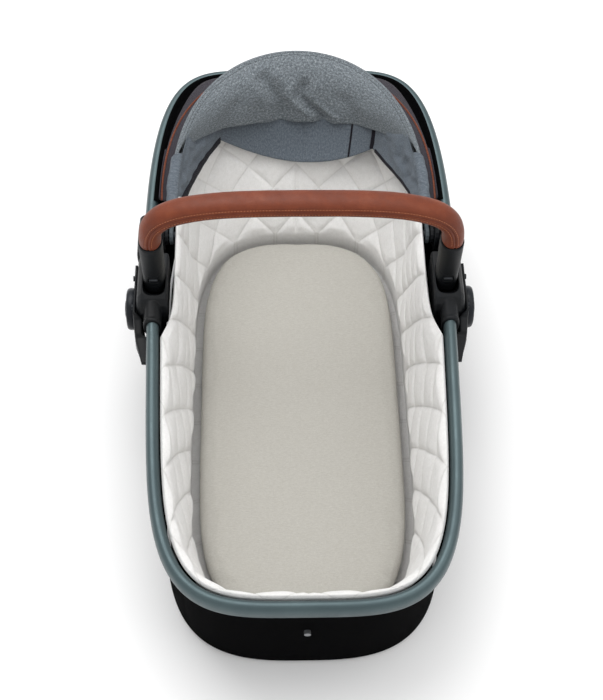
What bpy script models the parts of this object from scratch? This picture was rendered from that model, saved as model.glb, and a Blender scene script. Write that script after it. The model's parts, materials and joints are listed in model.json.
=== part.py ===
"""Carrycot of a baby stroller, modelled as separate pieces.

Frame: +X across the cot, +Y from the foot end to the head end, +Z up.
The origin is on the floor under the middle of the cot. Lengths are in metres.
"""
import math

import bmesh
import bpy
import numpy as np
from mathutils import Matrix

GAP = 0.0003

# Rim: a flat-oval tube round the top of the cot, rising towards the head end.
RIM_HEIGHT = 0.225
RIM_SLOPE = 0.08
RIM_WIDTH = 0.018
RIM_TALL = 0.030
FOOT_REACH = 0.447
HEAD_REACH = 0.436
FOOT_HALF_WIDTH = 0.212
FOOT_TAPER = 0.014
HEAD_HALF_WIDTH = 0.2205
HEAD_STRAIGHT_END = 0.080

# Mattress and the cot's floor.
MATTRESS_FOOT = 0.415
MATTRESS_HEAD = 0.276
MATTRESS_HALF_WIDTH = 0.161
MATTRESS_TOP = 0.065
FOOT_HEIGHT = 0.008
TRAY_THICKNESS = 0.008
BOARD_THICKNESS = 0.003
LINER_WALL = 0.006
SKIRT_WALL = 0.003
WIRE_RADIUS = 0.003
RUBBER_FOOT_RADIUS = 0.016
RUBBER_FOOT_X = 0.12
RUBBER_FOOT_Y = 0.30

# Clearance beside the joints: widest half width there, and the y range that it holds over.
TRAY_CLEAR = (0.206, -0.045, 0.185)
WIRE_CLEAR = (0.199, -0.045, 0.185)
LINER_CLEAR_IN = (0.1788, -0.042, 0.232)
LINER_CLEAR_CROWN = (0.1808, -0.042, 0.232)
LINER_CLEAR_OUT = (0.1828, -0.042, 0.232)
SKIRT_CLEAR_IN = (0.2095, -0.045, 0.150)
SKIRT_CLEAR_OUT = (0.2125, -0.045, 0.150)

# Carry handle.
HANDLE_X = 0.210
HANDLE_PIVOT_Y = 0.043
HANDLE_PIVOT_Z = 0.236
HANDLE_BEND_BASE = 0.320
HANDLE_TOP = 0.401
HANDLE_ROUNDNESS = 3.2
HANDLE_WIDTH = 0.031
HANDLE_DEPTH = 0.038
LEATHER = 0.004
SLEEVE_WIDTH = 0.032
SLEEVE_DEPTH = 0.036
SLEEVE_TOP = 0.325
SLEEVE_POCKET = 0.303
PIN_RADIUS = 0.004
TILT_TO_FOOT = 42.0
TILT_TO_HEAD = 3.0
SADDLE_GAP = 0.0004
CATCH_LOW = 0.2541
CATCH_HIGH = 0.2599
CATCH_HALF_WIDTH = 0.0063
CATCH_SLACK = 0.0005

# Side joint shells, which hold the front tube and the handle's knuckle.
SHELL_INNER_X = 0.190
SHELL_OUTER_X = 0.236
SHELL_FRONT_Y = -0.032
SHELL_BACK_Y = 0.085
SHELL_BOTTOM = 0.203
SHELL_TOP = 0.250
CHEEK_INNER_X = 0.1937
CHEEK_OUTER_X = 0.2263

# Rear tube socket, behind the joint shells.
SOCKET_INNER_X = 0.206
SOCKET_OUTER_X = 0.241
SOCKET_BACK_Y = 0.152

# Hood.
HOOD_Y = 0.128
HOOD_Z = 0.235
FRONT_BOW_ANGLE = math.radians(14.0)
MID_BOW_ANGLE = math.radians(9.0)
FRONT_BOW = {"half": 0.190, "reach": 0.317, "power": 3.0, "start": 0.1892}
MID_BOW = {"half": 0.198, "reach": 0.308, "power": 3.4, "start": 0.1963}
BOW_RADIUS = 0.0035
BOW_START = 0.0345
BOW_END_THICKNESS = 0.0054
HOOD_PIN_RADIUS = 0.0030
HOOD_PIN_HEAD_RADIUS = 0.0065
FABRIC = 0.0015
FABRIC_PROUD = 0.0065
VISOR_DROP = 0.068
LINING_DROP = 0.114

# Chassis adaptor on each side.
ADAPTOR_Y = 0.035
ADAPTOR_Z = 0.180
ADAPTOR_RADIUS = 0.031
ADAPTOR_INNER_X = 0.2413
ADAPTOR_OUTER_X = 0.2540
BRACKET_INNER_X = 0.2363
BUTTON_RADIUS = 0.0140
SCREW_PLACES = [(0.008, 0.220), (0.060, 0.220)]
SCREW_RADIUS = 0.0020
SCREW_HEAD_RADIUS = 0.0040

COLOURS = {
    "rim_paint": ((0.115, 0.165, 0.172), 0.35, 0.7),
    "black_plastic": ((0.012, 0.014, 0.016), 0.45, 0.0),
    "black_fabric": ((0.006, 0.006, 0.008), 0.95, 0.0),
    "liner_fabric": ((0.72, 0.70, 0.66), 0.9, 0.0),
    "mattress_fabric": ((0.62, 0.58, 0.51), 0.9, 0.0),
    "leather_tan": ((0.26, 0.07, 0.03), 0.5, 0.0),
    "hood_fabric": ((0.15, 0.17, 0.18), 0.95, 0.0),
    "lining_fabric": ((0.10, 0.12, 0.15), 0.9, 0.0),
    "rear_fabric": ((0.035, 0.030, 0.040), 0.9, 0.0),
    "steel": ((0.55, 0.55, 0.56), 0.3, 1.0),
    "rubber": ((0.02, 0.02, 0.02), 0.9, 0.0),
    "board": ((0.16, 0.12, 0.08), 0.8, 0.0),
    "bow_plastic": ((0.03, 0.03, 0.03), 0.5, 0.0),
}

for old in list(bpy.data.objects):
    bpy.data.objects.remove(old, do_unlink=True)
PARTS = bpy.data.collections.new("carrycot")
CUTTERS = bpy.data.collections.new("cutters")
bpy.context.scene.collection.children.link(PARTS)
bpy.context.scene.collection.children.link(CUTTERS)


def material(slot):
    """The plain material of one colour slot."""
    found = bpy.data.materials.get(slot)
    if found:
        return found
    colour, roughness, metallic = COLOURS[slot]
    made = bpy.data.materials.new(slot)
    made.use_nodes = True
    shader = made.node_tree.nodes["Principled BSDF"]
    shader.inputs["Base Color"].default_value = (*colour, 1.0)
    shader.inputs["Roughness"].default_value = roughness
    shader.inputs["Metallic"].default_value = metallic
    return made


def new_object(name, data, slot=None):
    """Link data as a part, or as a cutter when it has no slot."""
    obj = bpy.data.objects.new(name, data)
    if slot is None:
        CUTTERS.objects.link(obj)
        obj.hide_render = True
        obj.display_type = "WIRE"
        return obj
    PARTS.objects.link(obj)
    data.materials.append(material(slot))
    return obj


def from_bmesh(name, bm, slot=None):
    bmesh.ops.recalc_face_normals(bm, faces=bm.faces)
    mesh = bpy.data.meshes.new(name)
    bm.to_mesh(mesh)
    bm.free()
    return new_object(name, mesh, slot)


def smooth(obj, angle=35.0):
    obj.data.shade_smooth()
    obj.data.set_sharp_from_angle(angle=math.radians(angle))
    return obj


def baked(obj, name, slot):
    """Replace an object by its evaluated mesh, with welded seams."""
    bpy.context.view_layer.update()
    depsgraph = bpy.context.evaluated_depsgraph_get()
    mesh = bpy.data.meshes.new_from_object(obj.evaluated_get(depsgraph))
    mesh.transform(obj.matrix_world)
    bm = bmesh.new()
    bm.from_mesh(mesh)
    bmesh.ops.remove_doubles(bm, verts=bm.verts, dist=0.00001)
    bmesh.ops.recalc_face_normals(bm, faces=bm.faces)
    bpy.data.meshes.remove(mesh)
    mesh = bpy.data.meshes.new(name)
    bm.to_mesh(mesh)
    bm.free()
    bpy.data.objects.remove(obj, do_unlink=True)
    return smooth(new_object(name, mesh, slot)) if slot else new_object(name, mesh)


def box(name, low, high, slot=None):
    bm = bmesh.new()
    bmesh.ops.create_cube(bm, size=1.0)
    for vert in bm.verts:
        for i in range(3):
            vert.co[i] = low[i] if vert.co[i] < 0 else high[i]
    return from_bmesh(name, bm, slot)


def prism(name, outline, low, high, slot=None):
    """Extrude a (y, z) outline along X from low to high."""
    bm = bmesh.new()
    face = bm.faces.new([bm.verts.new((low, y, z)) for y, z in outline])
    made = bmesh.ops.extrude_face_region(bm, geom=[face])["geom"]
    moved = [item for item in made if isinstance(item, bmesh.types.BMVert)]
    bmesh.ops.translate(bm, verts=moved, vec=(high - low, 0, 0))
    return from_bmesh(name, bm, slot)


def rod(name, radius, low, high, centre, axis="X", slot=None, sides=20):
    """A cylinder along a row axis, from low to high, round a centre in the other two axes."""
    quarter = math.pi / 2
    turn = {"X": Matrix.Rotation(quarter, 4, "Y"), "Y": Matrix.Rotation(quarter, 4, "X"), "Z": Matrix()}
    bm = bmesh.new()
    bmesh.ops.create_cone(bm, cap_ends=True, segments=sides, radius1=radius, radius2=radius,
                          depth=high - low)
    bmesh.ops.transform(bm, verts=bm.verts, matrix=turn[axis])
    middle = (low + high) / 2
    place = {"X": (middle, *centre), "Y": (centre[0], middle, centre[1]), "Z": (*centre, middle)}
    bmesh.ops.translate(bm, verts=bm.verts, vec=place[axis])
    obj = from_bmesh(name, bm, slot)
    return smooth(obj) if slot else obj


def bevel(obj, width, segments=3, angle=40.0):
    step = obj.modifiers.new("round", "BEVEL")
    step.width = width
    step.segments = segments
    step.limit_method = "ANGLE"
    step.angle_limit = math.radians(angle)
    return obj


def boolean(obj, other, operation="DIFFERENCE"):
    step = obj.modifiers.new(operation.lower(), "BOOLEAN")
    step.operation = operation
    step.solver = "EXACT"
    step.object = other
    return obj


def settle(obj, slot):
    """Apply an object's modifiers under its own name."""
    name = obj.name
    obj.name = name + "_draft"
    return baked(obj, name, slot)


def mirror_copy(obj, name):
    """The same piece on the other side of the plane X = 0."""
    mesh = obj.data.copy()
    mesh.transform(Matrix.Scale(-1, 4, (1, 0, 0)))
    mesh.flip_normals()
    mesh.name = name
    twin = bpy.data.objects.new(name, mesh)
    PARTS.objects.link(twin)
    return twin


def pair(obj):
    """Mirror a piece whose name ends in _right to its left twin."""
    return obj, mirror_copy(obj, obj.name.replace("_right", "_left"))


def oval(name, width, tall, sides=8):
    """A closed guide curve used as a tube's cross-section."""
    curve = bpy.data.curves.new(name, "CURVE")
    curve.dimensions = "2D"
    line = curve.splines.new("POLY")
    line.points.add(sides - 1)
    for i, point in enumerate(line.points):
        turn = 2 * math.pi * i / sides
        point.co = (width / 2 * math.cos(turn), tall / 2 * math.sin(turn), 0, 1)
    line.use_cyclic_u = True
    return new_object(name, curve)


def path(name, points, radius=0.0, section=None, closed=False, caps=True, resolution=1):
    """A tube along points: round with a radius, or with a section curve kept upright."""
    curve = bpy.data.curves.new(name, "CURVE")
    curve.dimensions = "3D"
    line = curve.splines.new("POLY")
    line.points.add(len(points) - 1)
    for point, place in zip(line.points, points):
        point.co = (*place, 1)
    line.use_cyclic_u = closed
    curve.bevel_resolution = resolution
    curve.use_fill_caps = caps and not closed
    if section:
        curve.bevel_mode = "OBJECT"
        curve.bevel_object = section
        curve.twist_mode = "Z_UP"
    else:
        curve.bevel_depth = radius
    obj = bpy.data.objects.new(name, curve)
    PARTS.objects.link(obj)
    return obj


def even(points, count):
    """Resample a polyline to count + 1 points at equal steps along it."""
    points = np.array(points)
    steps = np.linalg.norm(np.diff(points, axis=0), axis=1)
    travel = np.concatenate([[0], np.cumsum(steps)])
    wanted = np.linspace(0, travel[-1], count + 1)
    return np.column_stack([np.interp(wanted, travel, points[:, i]) for i in range(points.shape[1])])


def egg(foot, head, samples=240):
    """The +X half of an egg-shaped plan, from the foot's middle to the head's middle."""
    turn = np.linspace(math.pi / 2, 0, samples)
    reach = np.sin(turn) ** (2 / foot["power"])
    side = (foot["half"] - foot["taper"] * reach) * np.cos(turn) ** (2 / foot["round"])
    front = np.column_stack([side, -foot["reach"] * reach])
    turn = np.linspace(0, math.pi / 2, samples)
    reach = np.sin(turn) ** (2 / head["power"])
    side = head["half"] * np.cos(turn) ** (2 / head["round"])
    back = np.column_stack([side, head["start"] + (head["reach"] - head["start"]) * reach])
    line = np.vstack([front, back[1:]]) if head["start"] == 0 else np.vstack([front, back])
    line[0, 0] = 0
    line[-1, 0] = 0
    return line


def inset(line, amount):
    """Shift a half plan inwards along its normals, keeping any end on the plane X = 0 there."""
    run = np.gradient(line, axis=0)
    run /= np.linalg.norm(run, axis=1)[:, None]
    inward = np.column_stack([-run[:, 1], run[:, 0]])
    if line[0, 0] == 0:
        inward[0] = (0, 1)
    if line[-1, 0] == 0:
        inward[-1] = (0, -1)
    moved = line + amount * inward
    moved[:, 0] = np.maximum(moved[:, 0], 0)
    return moved


RIM_FOOT = {"reach": FOOT_REACH, "half": FOOT_HALF_WIDTH, "taper": FOOT_TAPER, "round": 4.0, "power": 6.0}
RIM_HEAD = {"reach": HEAD_REACH, "half": HEAD_HALF_WIDTH, "start": HEAD_STRAIGHT_END, "round": 6.5,
            "power": 2.55}
BASE_FOOT = {"reach": 0.442, "half": 0.209, "taper": FOOT_TAPER, "round": 3.0, "power": 6.4}
BASE_HEAD = {"reach": 0.431, "half": 0.2155, "start": HEAD_STRAIGHT_END, "round": 6.0, "power": 2.5}
BED_FOOT = {"reach": MATTRESS_FOOT, "half": MATTRESS_HALF_WIDTH, "taper": 0.0, "round": 2.5, "power": 6.0}
BED_HEAD = {"reach": MATTRESS_HEAD, "half": MATTRESS_HALF_WIDTH, "start": 0.0, "round": 2.8, "power": 4.0}
RIM_LINE = even(egg(RIM_FOOT, RIM_HEAD), 160)
BASE_LINE = even(egg(BASE_FOOT, BASE_HEAD), 160)
BED_LINE = even(egg(BED_FOOT, BED_HEAD), 160)


def rim_z(y):
    return RIM_HEIGHT + RIM_SLOPE * y


def side_clearance(y, limit, front, back):
    """The widest half width that passes inboard of the side joints at y."""
    return limit + 0.5 * np.maximum(0, np.maximum(front - y, y - back))


def ring(line, inward, height, count=28, limit=None):
    """A closed ring of points: a half plan shifted inwards and mirrored, at a height of y."""
    half = even(inset(line, inward), count)
    if limit:
        half[:, 0] = np.minimum(half[:, 0], side_clearance(half[:, 1], *limit))
    points = [(x, y, height(y)) for x, y in half]
    return points + [(-x, y, z) for x, y, z in points[-2:0:-1]]


def loft(name, rings, slot, wrap=False):
    """A closed solid through rings of equal length, capped unless it wraps round to the first."""
    bm = bmesh.new()
    rows = [[bm.verts.new(place) for place in points] for points in rings]
    pairs = list(zip(rows, rows[1:]))
    if wrap:
        pairs.append((rows[-1], rows[0]))
    for low, high in pairs:
        for i in range(len(low)):
            j = (i + 1) % len(low)
            bm.faces.new((low[i], low[j], high[j], high[i]))
    if not wrap:
        bm.faces.new(rows[0])
        bm.faces.new(rows[-1])
    return smooth(from_bmesh(name, bm, slot))


def between(ring_a, ring_b, share):
    """The ring a share of the way from one ring to another."""
    return [tuple(a + share * (b - a) for a, b in zip(p, q)) for p, q in zip(ring_a, ring_b)]


def flat(height):
    return lambda y: height


# ---------------------------------------------------------------- rim tubes

def rim_points(low_y, high_y, half_width=None, steps=20):
    """The rim's centre line over part of its length, from the +X side round to the -X side."""
    half = np.array([p for p in RIM_LINE if low_y <= p[1] <= high_y])
    if high_y < 0.05:
        half = half[::-1]
    start = (half_width, high_y if high_y < 0.05 else low_y)
    half = even(np.vstack([start, half]), steps)
    half[-1, 0] = 0
    points = [(x, y, rim_z(y)) for x, y in half]
    return points + [(-x, y, z) for x, y, z in points[-2::-1]]


FRONT_TUBE = rim_points(-FOOT_REACH, -0.002, FOOT_HALF_WIDTH)
REAR_TUBE = rim_points(0.088, HEAD_REACH, HEAD_HALF_WIDTH)
rim_section = oval("rim_section", RIM_WIDTH, RIM_TALL)
socket_section = oval("socket_section", RIM_WIDTH + 2 * GAP, RIM_TALL + 2 * GAP)
front_rim_tube = baked(path("front_draft", FRONT_TUBE, section=rim_section), "front_rim_tube", "rim_paint")
rear_rim_tube = baked(path("rear_draft", REAR_TUBE, section=rim_section), "rear_rim_tube", "rim_paint")


def channel(name, points):
    """A cutter for the seat of a rim tube, a little longer and wider than the tube."""
    start, after = np.array(points[0]), np.array(points[1])
    ahead = start - GAP * (after - start) / np.linalg.norm(after - start)
    return baked(path(name + "_draft", [tuple(ahead)] + points[1:8], section=socket_section), name, None)


# ---------------------------------------------------------------- body, liner and bedding

def base_tray():
    outline = [ring(BASE_LINE, 0.0075, flat(z), limit=TRAY_CLEAR)
               for z in (FOOT_HEIGHT + GAP, FOOT_HEIGHT + TRAY_THICKNESS)]
    loft("base_tray", outline, "black_plastic")


def feet():
    for side, x in (("right", RUBBER_FOOT_X), ("left", -RUBBER_FOOT_X)):
        for end, y in (("foot", -RUBBER_FOOT_Y), ("head", RUBBER_FOOT_Y)):
            rod(f"rubber_foot_{end}_{side}", RUBBER_FOOT_RADIUS, 0.0, FOOT_HEIGHT, (x, y), "Z", "rubber")


def base_wire():
    height = FOOT_HEIGHT + TRAY_THICKNESS + WIRE_RADIUS + GAP
    points = ring(BASE_LINE, 0.0115, flat(height), 20, limit=WIRE_CLEAR)
    baked(path("wire_draft", points, radius=WIRE_RADIUS, closed=True), "base_frame_wire", "steel")


def mattress_board():
    low = FOOT_HEIGHT + TRAY_THICKNESS + GAP
    outline = [ring(BED_LINE, 0.004, flat(z), 24) for z in (low, low + BOARD_THICKNESS)]
    loft("mattress_board", outline, "board")


LINER_FLOOR = FOOT_HEIGHT + TRAY_THICKNESS + BOARD_THICKNESS + 2 * GAP
MATTRESS_BOTTOM = LINER_FLOOR + LINER_WALL + GAP


def liner_top(y):
    """The height of the liner's rolled edge, lower at the head end under the hood's bows."""
    return rim_z(y) + 0.010 - 0.005 * np.clip((y - 0.15) / 0.08, 0, 1)


def liner():
    """A quilted tub: its floor under the mattress, its walls flaring out to the rim."""
    inner_low = ring(BED_LINE, -0.002, flat(MATTRESS_BOTTOM - GAP))
    inner_mid = ring(BED_LINE, -0.002, flat(MATTRESS_TOP))
    inner_top = ring(RIM_LINE, 0.0195, lambda y: liner_top(y) - 0.004, limit=LINER_CLEAR_IN)
    outer_low = ring(BED_LINE, -0.002 - LINER_WALL, flat(LINER_FLOOR))
    outer_mid = ring(BED_LINE, -0.002 - LINER_WALL, flat(MATTRESS_TOP))
    outer_top = ring(RIM_LINE, 0.0130, lambda y: liner_top(y) - 0.004, limit=LINER_CLEAR_OUT)
    crown = ring(RIM_LINE, 0.0162, liner_top, limit=LINER_CLEAR_CROWN)
    rows = [outer_low, outer_mid, between(outer_mid, outer_top, 0.5), outer_top, crown, inner_top,
            between(inner_mid, inner_top, 0.5), inner_mid, inner_low]
    loft("liner", rows, "liner_fabric")


def mattress():
    levels = [(0.006, MATTRESS_BOTTOM), (0.0, MATTRESS_BOTTOM + 0.008), (0.0, MATTRESS_TOP - 0.010),
              (0.003, MATTRESS_TOP - 0.003), (0.010, MATTRESS_TOP)]
    rows = [ring(BED_LINE, inward, flat(height)) for inward, height in levels]
    loft("mattress", rows, "mattress_fabric")


def skirt_top(y):
    """The top edge of the outer cover, dipping under the side joints."""
    dip = 0.0135 * np.clip(min(y + 0.080, 0.220 - y) / 0.025, 0, 1)
    return rim_z(y) - RIM_TALL / 2 - 0.0015 - dip


def skirt():
    low = FOOT_HEIGHT
    rows = [ring(BASE_LINE, 0.0, flat(low), limit=SKIRT_CLEAR_OUT),
            ring(RIM_LINE, 0.002, skirt_top, limit=SKIRT_CLEAR_OUT),
            ring(RIM_LINE, 0.002 + SKIRT_WALL, skirt_top, limit=SKIRT_CLEAR_IN),
            ring(BASE_LINE, SKIRT_WALL, flat(low), limit=SKIRT_CLEAR_IN)]
    loft("outer_cover", rows, "black_fabric", wrap=True)


def snap_stud():
    rod("snap_stud", 0.0045, -FOOT_REACH - 0.0030, -FOOT_REACH + 0.0026, (0, 0.115), "Y", "steel", 12)


base_tray()
feet()
base_wire()
mattress_board()
liner()
mattress()
skirt()
snap_stud()


# ---------------------------------------------------------------- handle

def handle_line(base):
    """The handle's centre line in (x, z): straight legs under a rounded, crowned top."""
    turn = np.linspace(0, math.pi / 2, 120)
    x = HANDLE_X * np.cos(turn) ** (2 / HANDLE_ROUNDNESS)
    z = HANDLE_BEND_BASE + (HANDLE_TOP - HANDLE_BEND_BASE) * np.sin(turn) ** (2 / HANDLE_ROUNDNESS)
    half = even(np.column_stack([x, z]), 14)
    half = half[half[:, 1] > base + 0.004]
    half[-1, 0] = 0
    half = np.vstack([(HANDLE_X, base), half])
    return [(x, z, 0) for x, z in half] + [(-x, z, 0) for x, z in half[-2::-1]]


def stand_up(obj):
    """Turn a path drawn in the XY plane upright, into the handle's plane."""
    obj.rotation_euler = (math.pi / 2, 0, 0)
    obj.location = (0, HANDLE_PIVOT_Y, 0)
    return obj


def handle():
    skin = oval("handle_section", HANDLE_WIDTH, HANDLE_DEPTH)
    shrink = 2 * (LEATHER + GAP)
    core = oval("core_section", HANDLE_WIDTH - shrink, HANDLE_DEPTH - shrink)
    tube = stand_up(path("core_draft", handle_line(SLEEVE_POCKET + GAP), section=core))
    baked(tube, "handle_core_tube", "steel")
    wrap = stand_up(path("wrap_draft", handle_line(SLEEVE_TOP + GAP), section=skin, caps=False))
    wrap = baked(wrap, "handle_leather_wrap", "leather_tan")
    step = wrap.modifiers.new("thick", "SOLIDIFY")
    step.thickness = LEATHER
    step.offset = -1


def arc(centre, radius, start, end, steps):
    """Points of an arc in (y, z), by angles in degrees from +Y."""
    turns = [math.radians(start + (end - start) * i / steps) for i in range(steps + 1)]
    return [(centre[0] + radius * math.cos(t), centre[1] + radius * math.sin(t)) for t in turns]


PIVOT = (HANDLE_PIVOT_Y, HANDLE_PIVOT_Z)


def handle_end():
    """The handle's sleeve, with a round knuckle at the pivot and a pocket for the core tube."""
    radius = SLEEVE_DEPTH / 2
    outline = arc(PIVOT, radius, 180, 360, 10)
    outline += [(HANDLE_PIVOT_Y + radius, SLEEVE_TOP), (HANDLE_PIVOT_Y - radius, SLEEVE_TOP)]
    sleeve = prism("handle_end_right", outline, HANDLE_X - SLEEVE_WIDTH / 2, HANDLE_X + SLEEVE_WIDTH / 2)
    bevel(sleeve, 0.008, 2)
    shrink = 2 * LEATHER
    section = oval("pocket_section", HANDLE_WIDTH - shrink, HANDLE_DEPTH - shrink)
    line = [(HANDLE_X, SLEEVE_POCKET, 0), (HANDLE_X, SLEEVE_TOP + 0.01, 0)]
    pocket = baked(stand_up(path("pocket_draft", line, section=section)), "core_pocket", None)
    pin_hole = rod("pin_hole", PIN_RADIUS + GAP, 0.15, 0.25, PIVOT)
    wide = CATCH_HALF_WIDTH + CATCH_SLACK
    window = box("catch_window", (HANDLE_X - wide, 0.020, CATCH_LOW - 0.0004),
                 (HANDLE_X + wide, 0.0367, CATCH_HIGH + 0.0004))
    for cutter in (pocket, pin_hole, window):
        boolean(sleeve, cutter)
    pair(settle(sleeve, "black_plastic"))


def handle_catch():
    """The metal release catch in the sleeve's front, with its spring behind it."""
    low = (HANDLE_X - CATCH_HALF_WIDTH, 0.0254, CATCH_LOW)
    high = (HANDLE_X + CATCH_HALF_WIDTH, 0.0304, CATCH_HIGH)
    pair(smooth(settle(bevel(box("handle_catch_right", low, high), 0.0008, 1), "steel")))
    centre = (HANDLE_X, (CATCH_LOW + CATCH_HIGH) / 2)
    pair(spring("catch_spring_right", "Y", 0.0307, 0.0364, 0.0022, centre, 0.0004, 3))


def spring(name, axis, low, high, radius, centre, wire, turns):
    """A helical spring along a row axis."""
    steps = 8 * turns
    points = []
    for i in range(steps + 1):
        turn = 2 * math.pi * turns * i / steps
        along = low + wire + (high - low - 2 * wire) * i / steps
        a, b = radius * math.cos(turn), radius * math.sin(turn)
        places = {"X": (along, centre[0] + a, centre[1] + b), "Y": (centre[0] + a, along, centre[1] + b)}
        points.append(places[axis])
    return baked(path(name + "_draft", points, radius=wire), name, "steel")


handle()
handle_end()
handle_catch()


# ---------------------------------------------------------------- side joints

def side_joint():
    """The joint's inner and outer shells, which clasp the front tube and the handle's knuckle."""
    outline = [(SHELL_FRONT_Y, SHELL_BOTTOM), (SHELL_BACK_Y, SHELL_BOTTOM), (SHELL_BACK_Y, SHELL_TOP),
               (0.010, SHELL_TOP), (SHELL_FRONT_Y, SHELL_TOP - 0.006)]
    seat = channel("front_tube_seat", FRONT_TUBE)
    saddle_radius = SLEEVE_DEPTH / 2 + SADDLE_GAP
    low_turn, high_turn = -TILT_TO_HEAD, 180 + TILT_TO_FOOT
    bottom = arc(PIVOT, saddle_radius, high_turn - 360, low_turn, 14)
    reach = 0.09
    back = (bottom[-1][0] + reach * math.sin(math.radians(TILT_TO_HEAD)),
            bottom[-1][1] + reach * math.cos(math.radians(TILT_TO_HEAD)))
    front = (bottom[0][0] - reach * math.sin(math.radians(TILT_TO_FOOT)),
             bottom[0][1] + reach * math.cos(math.radians(TILT_TO_FOOT)))
    saddle = prism("knuckle_saddle", bottom + [back, front], CHEEK_INNER_X, CHEEK_OUTER_X)
    pin_hole = rod("shell_pin_hole", PIN_RADIUS + GAP, 0.15, 0.2323, PIVOT)
    halves = (("joint_inner_shell_right", HANDLE_X - GAP / 2, 0.30),
              ("joint_outer_shell_right", 0.10, HANDLE_X + GAP / 2))
    for name, low, high in halves:
        shell = bevel(prism(name, outline, SHELL_INNER_X, SHELL_OUTER_X), 0.0055, 2)
        other_side = box(name + "_cut", (low, -0.1, 0.1), (high, 0.2, 0.4))
        for cutter in (other_side, seat, saddle, pin_hole):
            boolean(shell, cutter)
        pair(settle(shell, "black_plastic"))
    pin = rod("handle_pivot_pin_right", PIN_RADIUS, 0.1896, 0.2320, PIVOT, "X", "steel")
    pair(pin)


def rear_socket():
    outline = [(SHELL_BACK_Y + GAP, 0.2130), (SOCKET_BACK_Y, 0.2157), (SOCKET_BACK_Y, 0.2604),
               (SHELL_BACK_Y + GAP, 0.2550)]
    socket = bevel(prism("rear_tube_socket_right", outline, SOCKET_INNER_X, SOCKET_OUTER_X), 0.0065, 2)
    boolean(socket, channel("rear_tube_seat", REAR_TUBE))
    pair(settle(socket, "black_plastic"))


def adaptor():
    """The chassis adaptor under each side joint: a bracket, a disc and a sprung release button."""
    outline = [(-0.012, 0.2300), (-0.012, 0.2000), (0.012, 0.1350), (0.045, 0.1350), (0.078, 0.2000),
               (0.078, 0.2300)]
    bracket = prism("adaptor_bracket_right", outline, BRACKET_INNER_X, ADAPTOR_INNER_X - GAP)
    bevel(bracket, 0.0015, 1)
    centre = (ADAPTOR_Y, ADAPTOR_Z)
    for i, place in enumerate(SCREW_PLACES):
        boolean(bracket, rod(f"bracket_hole_{i}", SCREW_RADIUS + 0.0004, 0.23, 0.25, place, sides=12))
    pair(settle(bracket, "black_plastic"))
    for i, place in enumerate(SCREW_PLACES):
        screw = rod(f"bracket_screw_{i + 1}_right", SCREW_RADIUS, 0.2366, 0.2412, place, sides=12)
        head = rod(f"screw_head_{i}", SCREW_HEAD_RADIUS, 0.2412, 0.2432, place, sides=12)
        boolean(screw, head, "UNION")
        pair(settle(screw, "steel"))
    disc = rod("chassis_adaptor_right", ADAPTOR_RADIUS, ADAPTOR_INNER_X, ADAPTOR_OUTER_X, centre, sides=32)
    bevel(disc, 0.0025, 2)
    boolean(disc, rod("button_well", BUTTON_RADIUS + GAP, ADAPTOR_INNER_X + 0.0020, 0.27, centre))
    pair(settle(disc, "black_plastic"))
    button = bevel(rod("adaptor_button_right", BUTTON_RADIUS, 0.2493, 0.2565, centre), 0.0015, 1)
    pair(settle(button, "black_plastic"))
    pair(spring("adaptor_spring_right", "X", 0.2436, 0.2490, 0.0060, centre, 0.0006, 3))


side_joint()
rear_socket()
adaptor()


# ---------------------------------------------------------------- hood

def bow_half_width(bow, reach):
    """Half width of a bow at a distance from the hood's pivot, drawn in to the pivot's fitting."""
    wide = bow["half"] * np.sqrt(np.maximum(0, 1 - (reach / bow["reach"]) ** bow["power"]))
    share = np.clip((reach - 0.03) / 0.09, 0, 1)
    share = share * share * (3 - 2 * share)
    return bow["start"] + (wide - bow["start"]) * share


def bow_line(bow, angle, start, proud=0.0, lift=0.0, count=26):
    """A bow's line from the right pivot over the top to the left one, in its own tilted plane."""
    turn = np.linspace(0, math.pi / 2, 160)
    reach = bow["reach"] * np.sin(turn) ** (2 / bow["power"])
    reach = np.concatenate([[start], reach[reach > start]])
    half = even(np.column_stack([bow_half_width(bow, reach), reach]), count // 2)
    half[-1] = (0, bow["reach"])
    if proud:
        half = inset(half, -proud)
        half[-1, 0] = 0
    points = [(x, HOOD_Y + r * math.cos(angle), HOOD_Z + r * math.sin(angle) + lift) for x, r in half]
    return points + [(-x, y, z) for x, y, z in points[-2::-1]]


def strip(name, line_a, line_b, slot, across=2, sag=0.0):
    """A fabric strip between two lines of equal length, sagging between them."""
    bm = bmesh.new()
    rows = []
    for k in range(across + 1):
        share = k / across
        dip = sag * math.sin(math.pi * share)
        points = between(line_a, line_b, share)
        last = len(points) - 1
        rows.append([bm.verts.new((x, y, z - dip * math.sin(math.pi * i / last)))
                     for i, (x, y, z) in enumerate(points)])
    for low, high in zip(rows, rows[1:]):
        for i in range(len(low) - 1):
            bm.faces.new((low[i], low[i + 1], high[i + 1], high[i]))
    obj = smooth(from_bmesh(name, bm, slot))
    step = obj.modifiers.new("thick", "SOLIDIFY")
    step.thickness = FABRIC
    step.offset = 0
    return obj


def edge_line(half_width, reach, power, rounding, start, drop, level, count=26):
    """A hanging inner edge: an arch in plan, lowest at its middle and level with the bow at a half width."""
    turn = np.linspace(0, math.pi / 2, 200)
    y = start + (reach - start) * np.sin(turn) ** (2 / power)
    x = half_width * np.cos(turn) ** (2 / rounding)
    half = even(np.column_stack([x, y]), count // 2)
    half[-1, 0] = 0
    slope = math.tan(FRONT_BOW_ANGLE)
    points = [(x, y, HOOD_Z + slope * (y - HOOD_Y) - drop * (1 - (x / level) ** 2)) for x, y in half]
    return points + [(-x, y, z) for x, y, z in points[-2::-1]]


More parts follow.
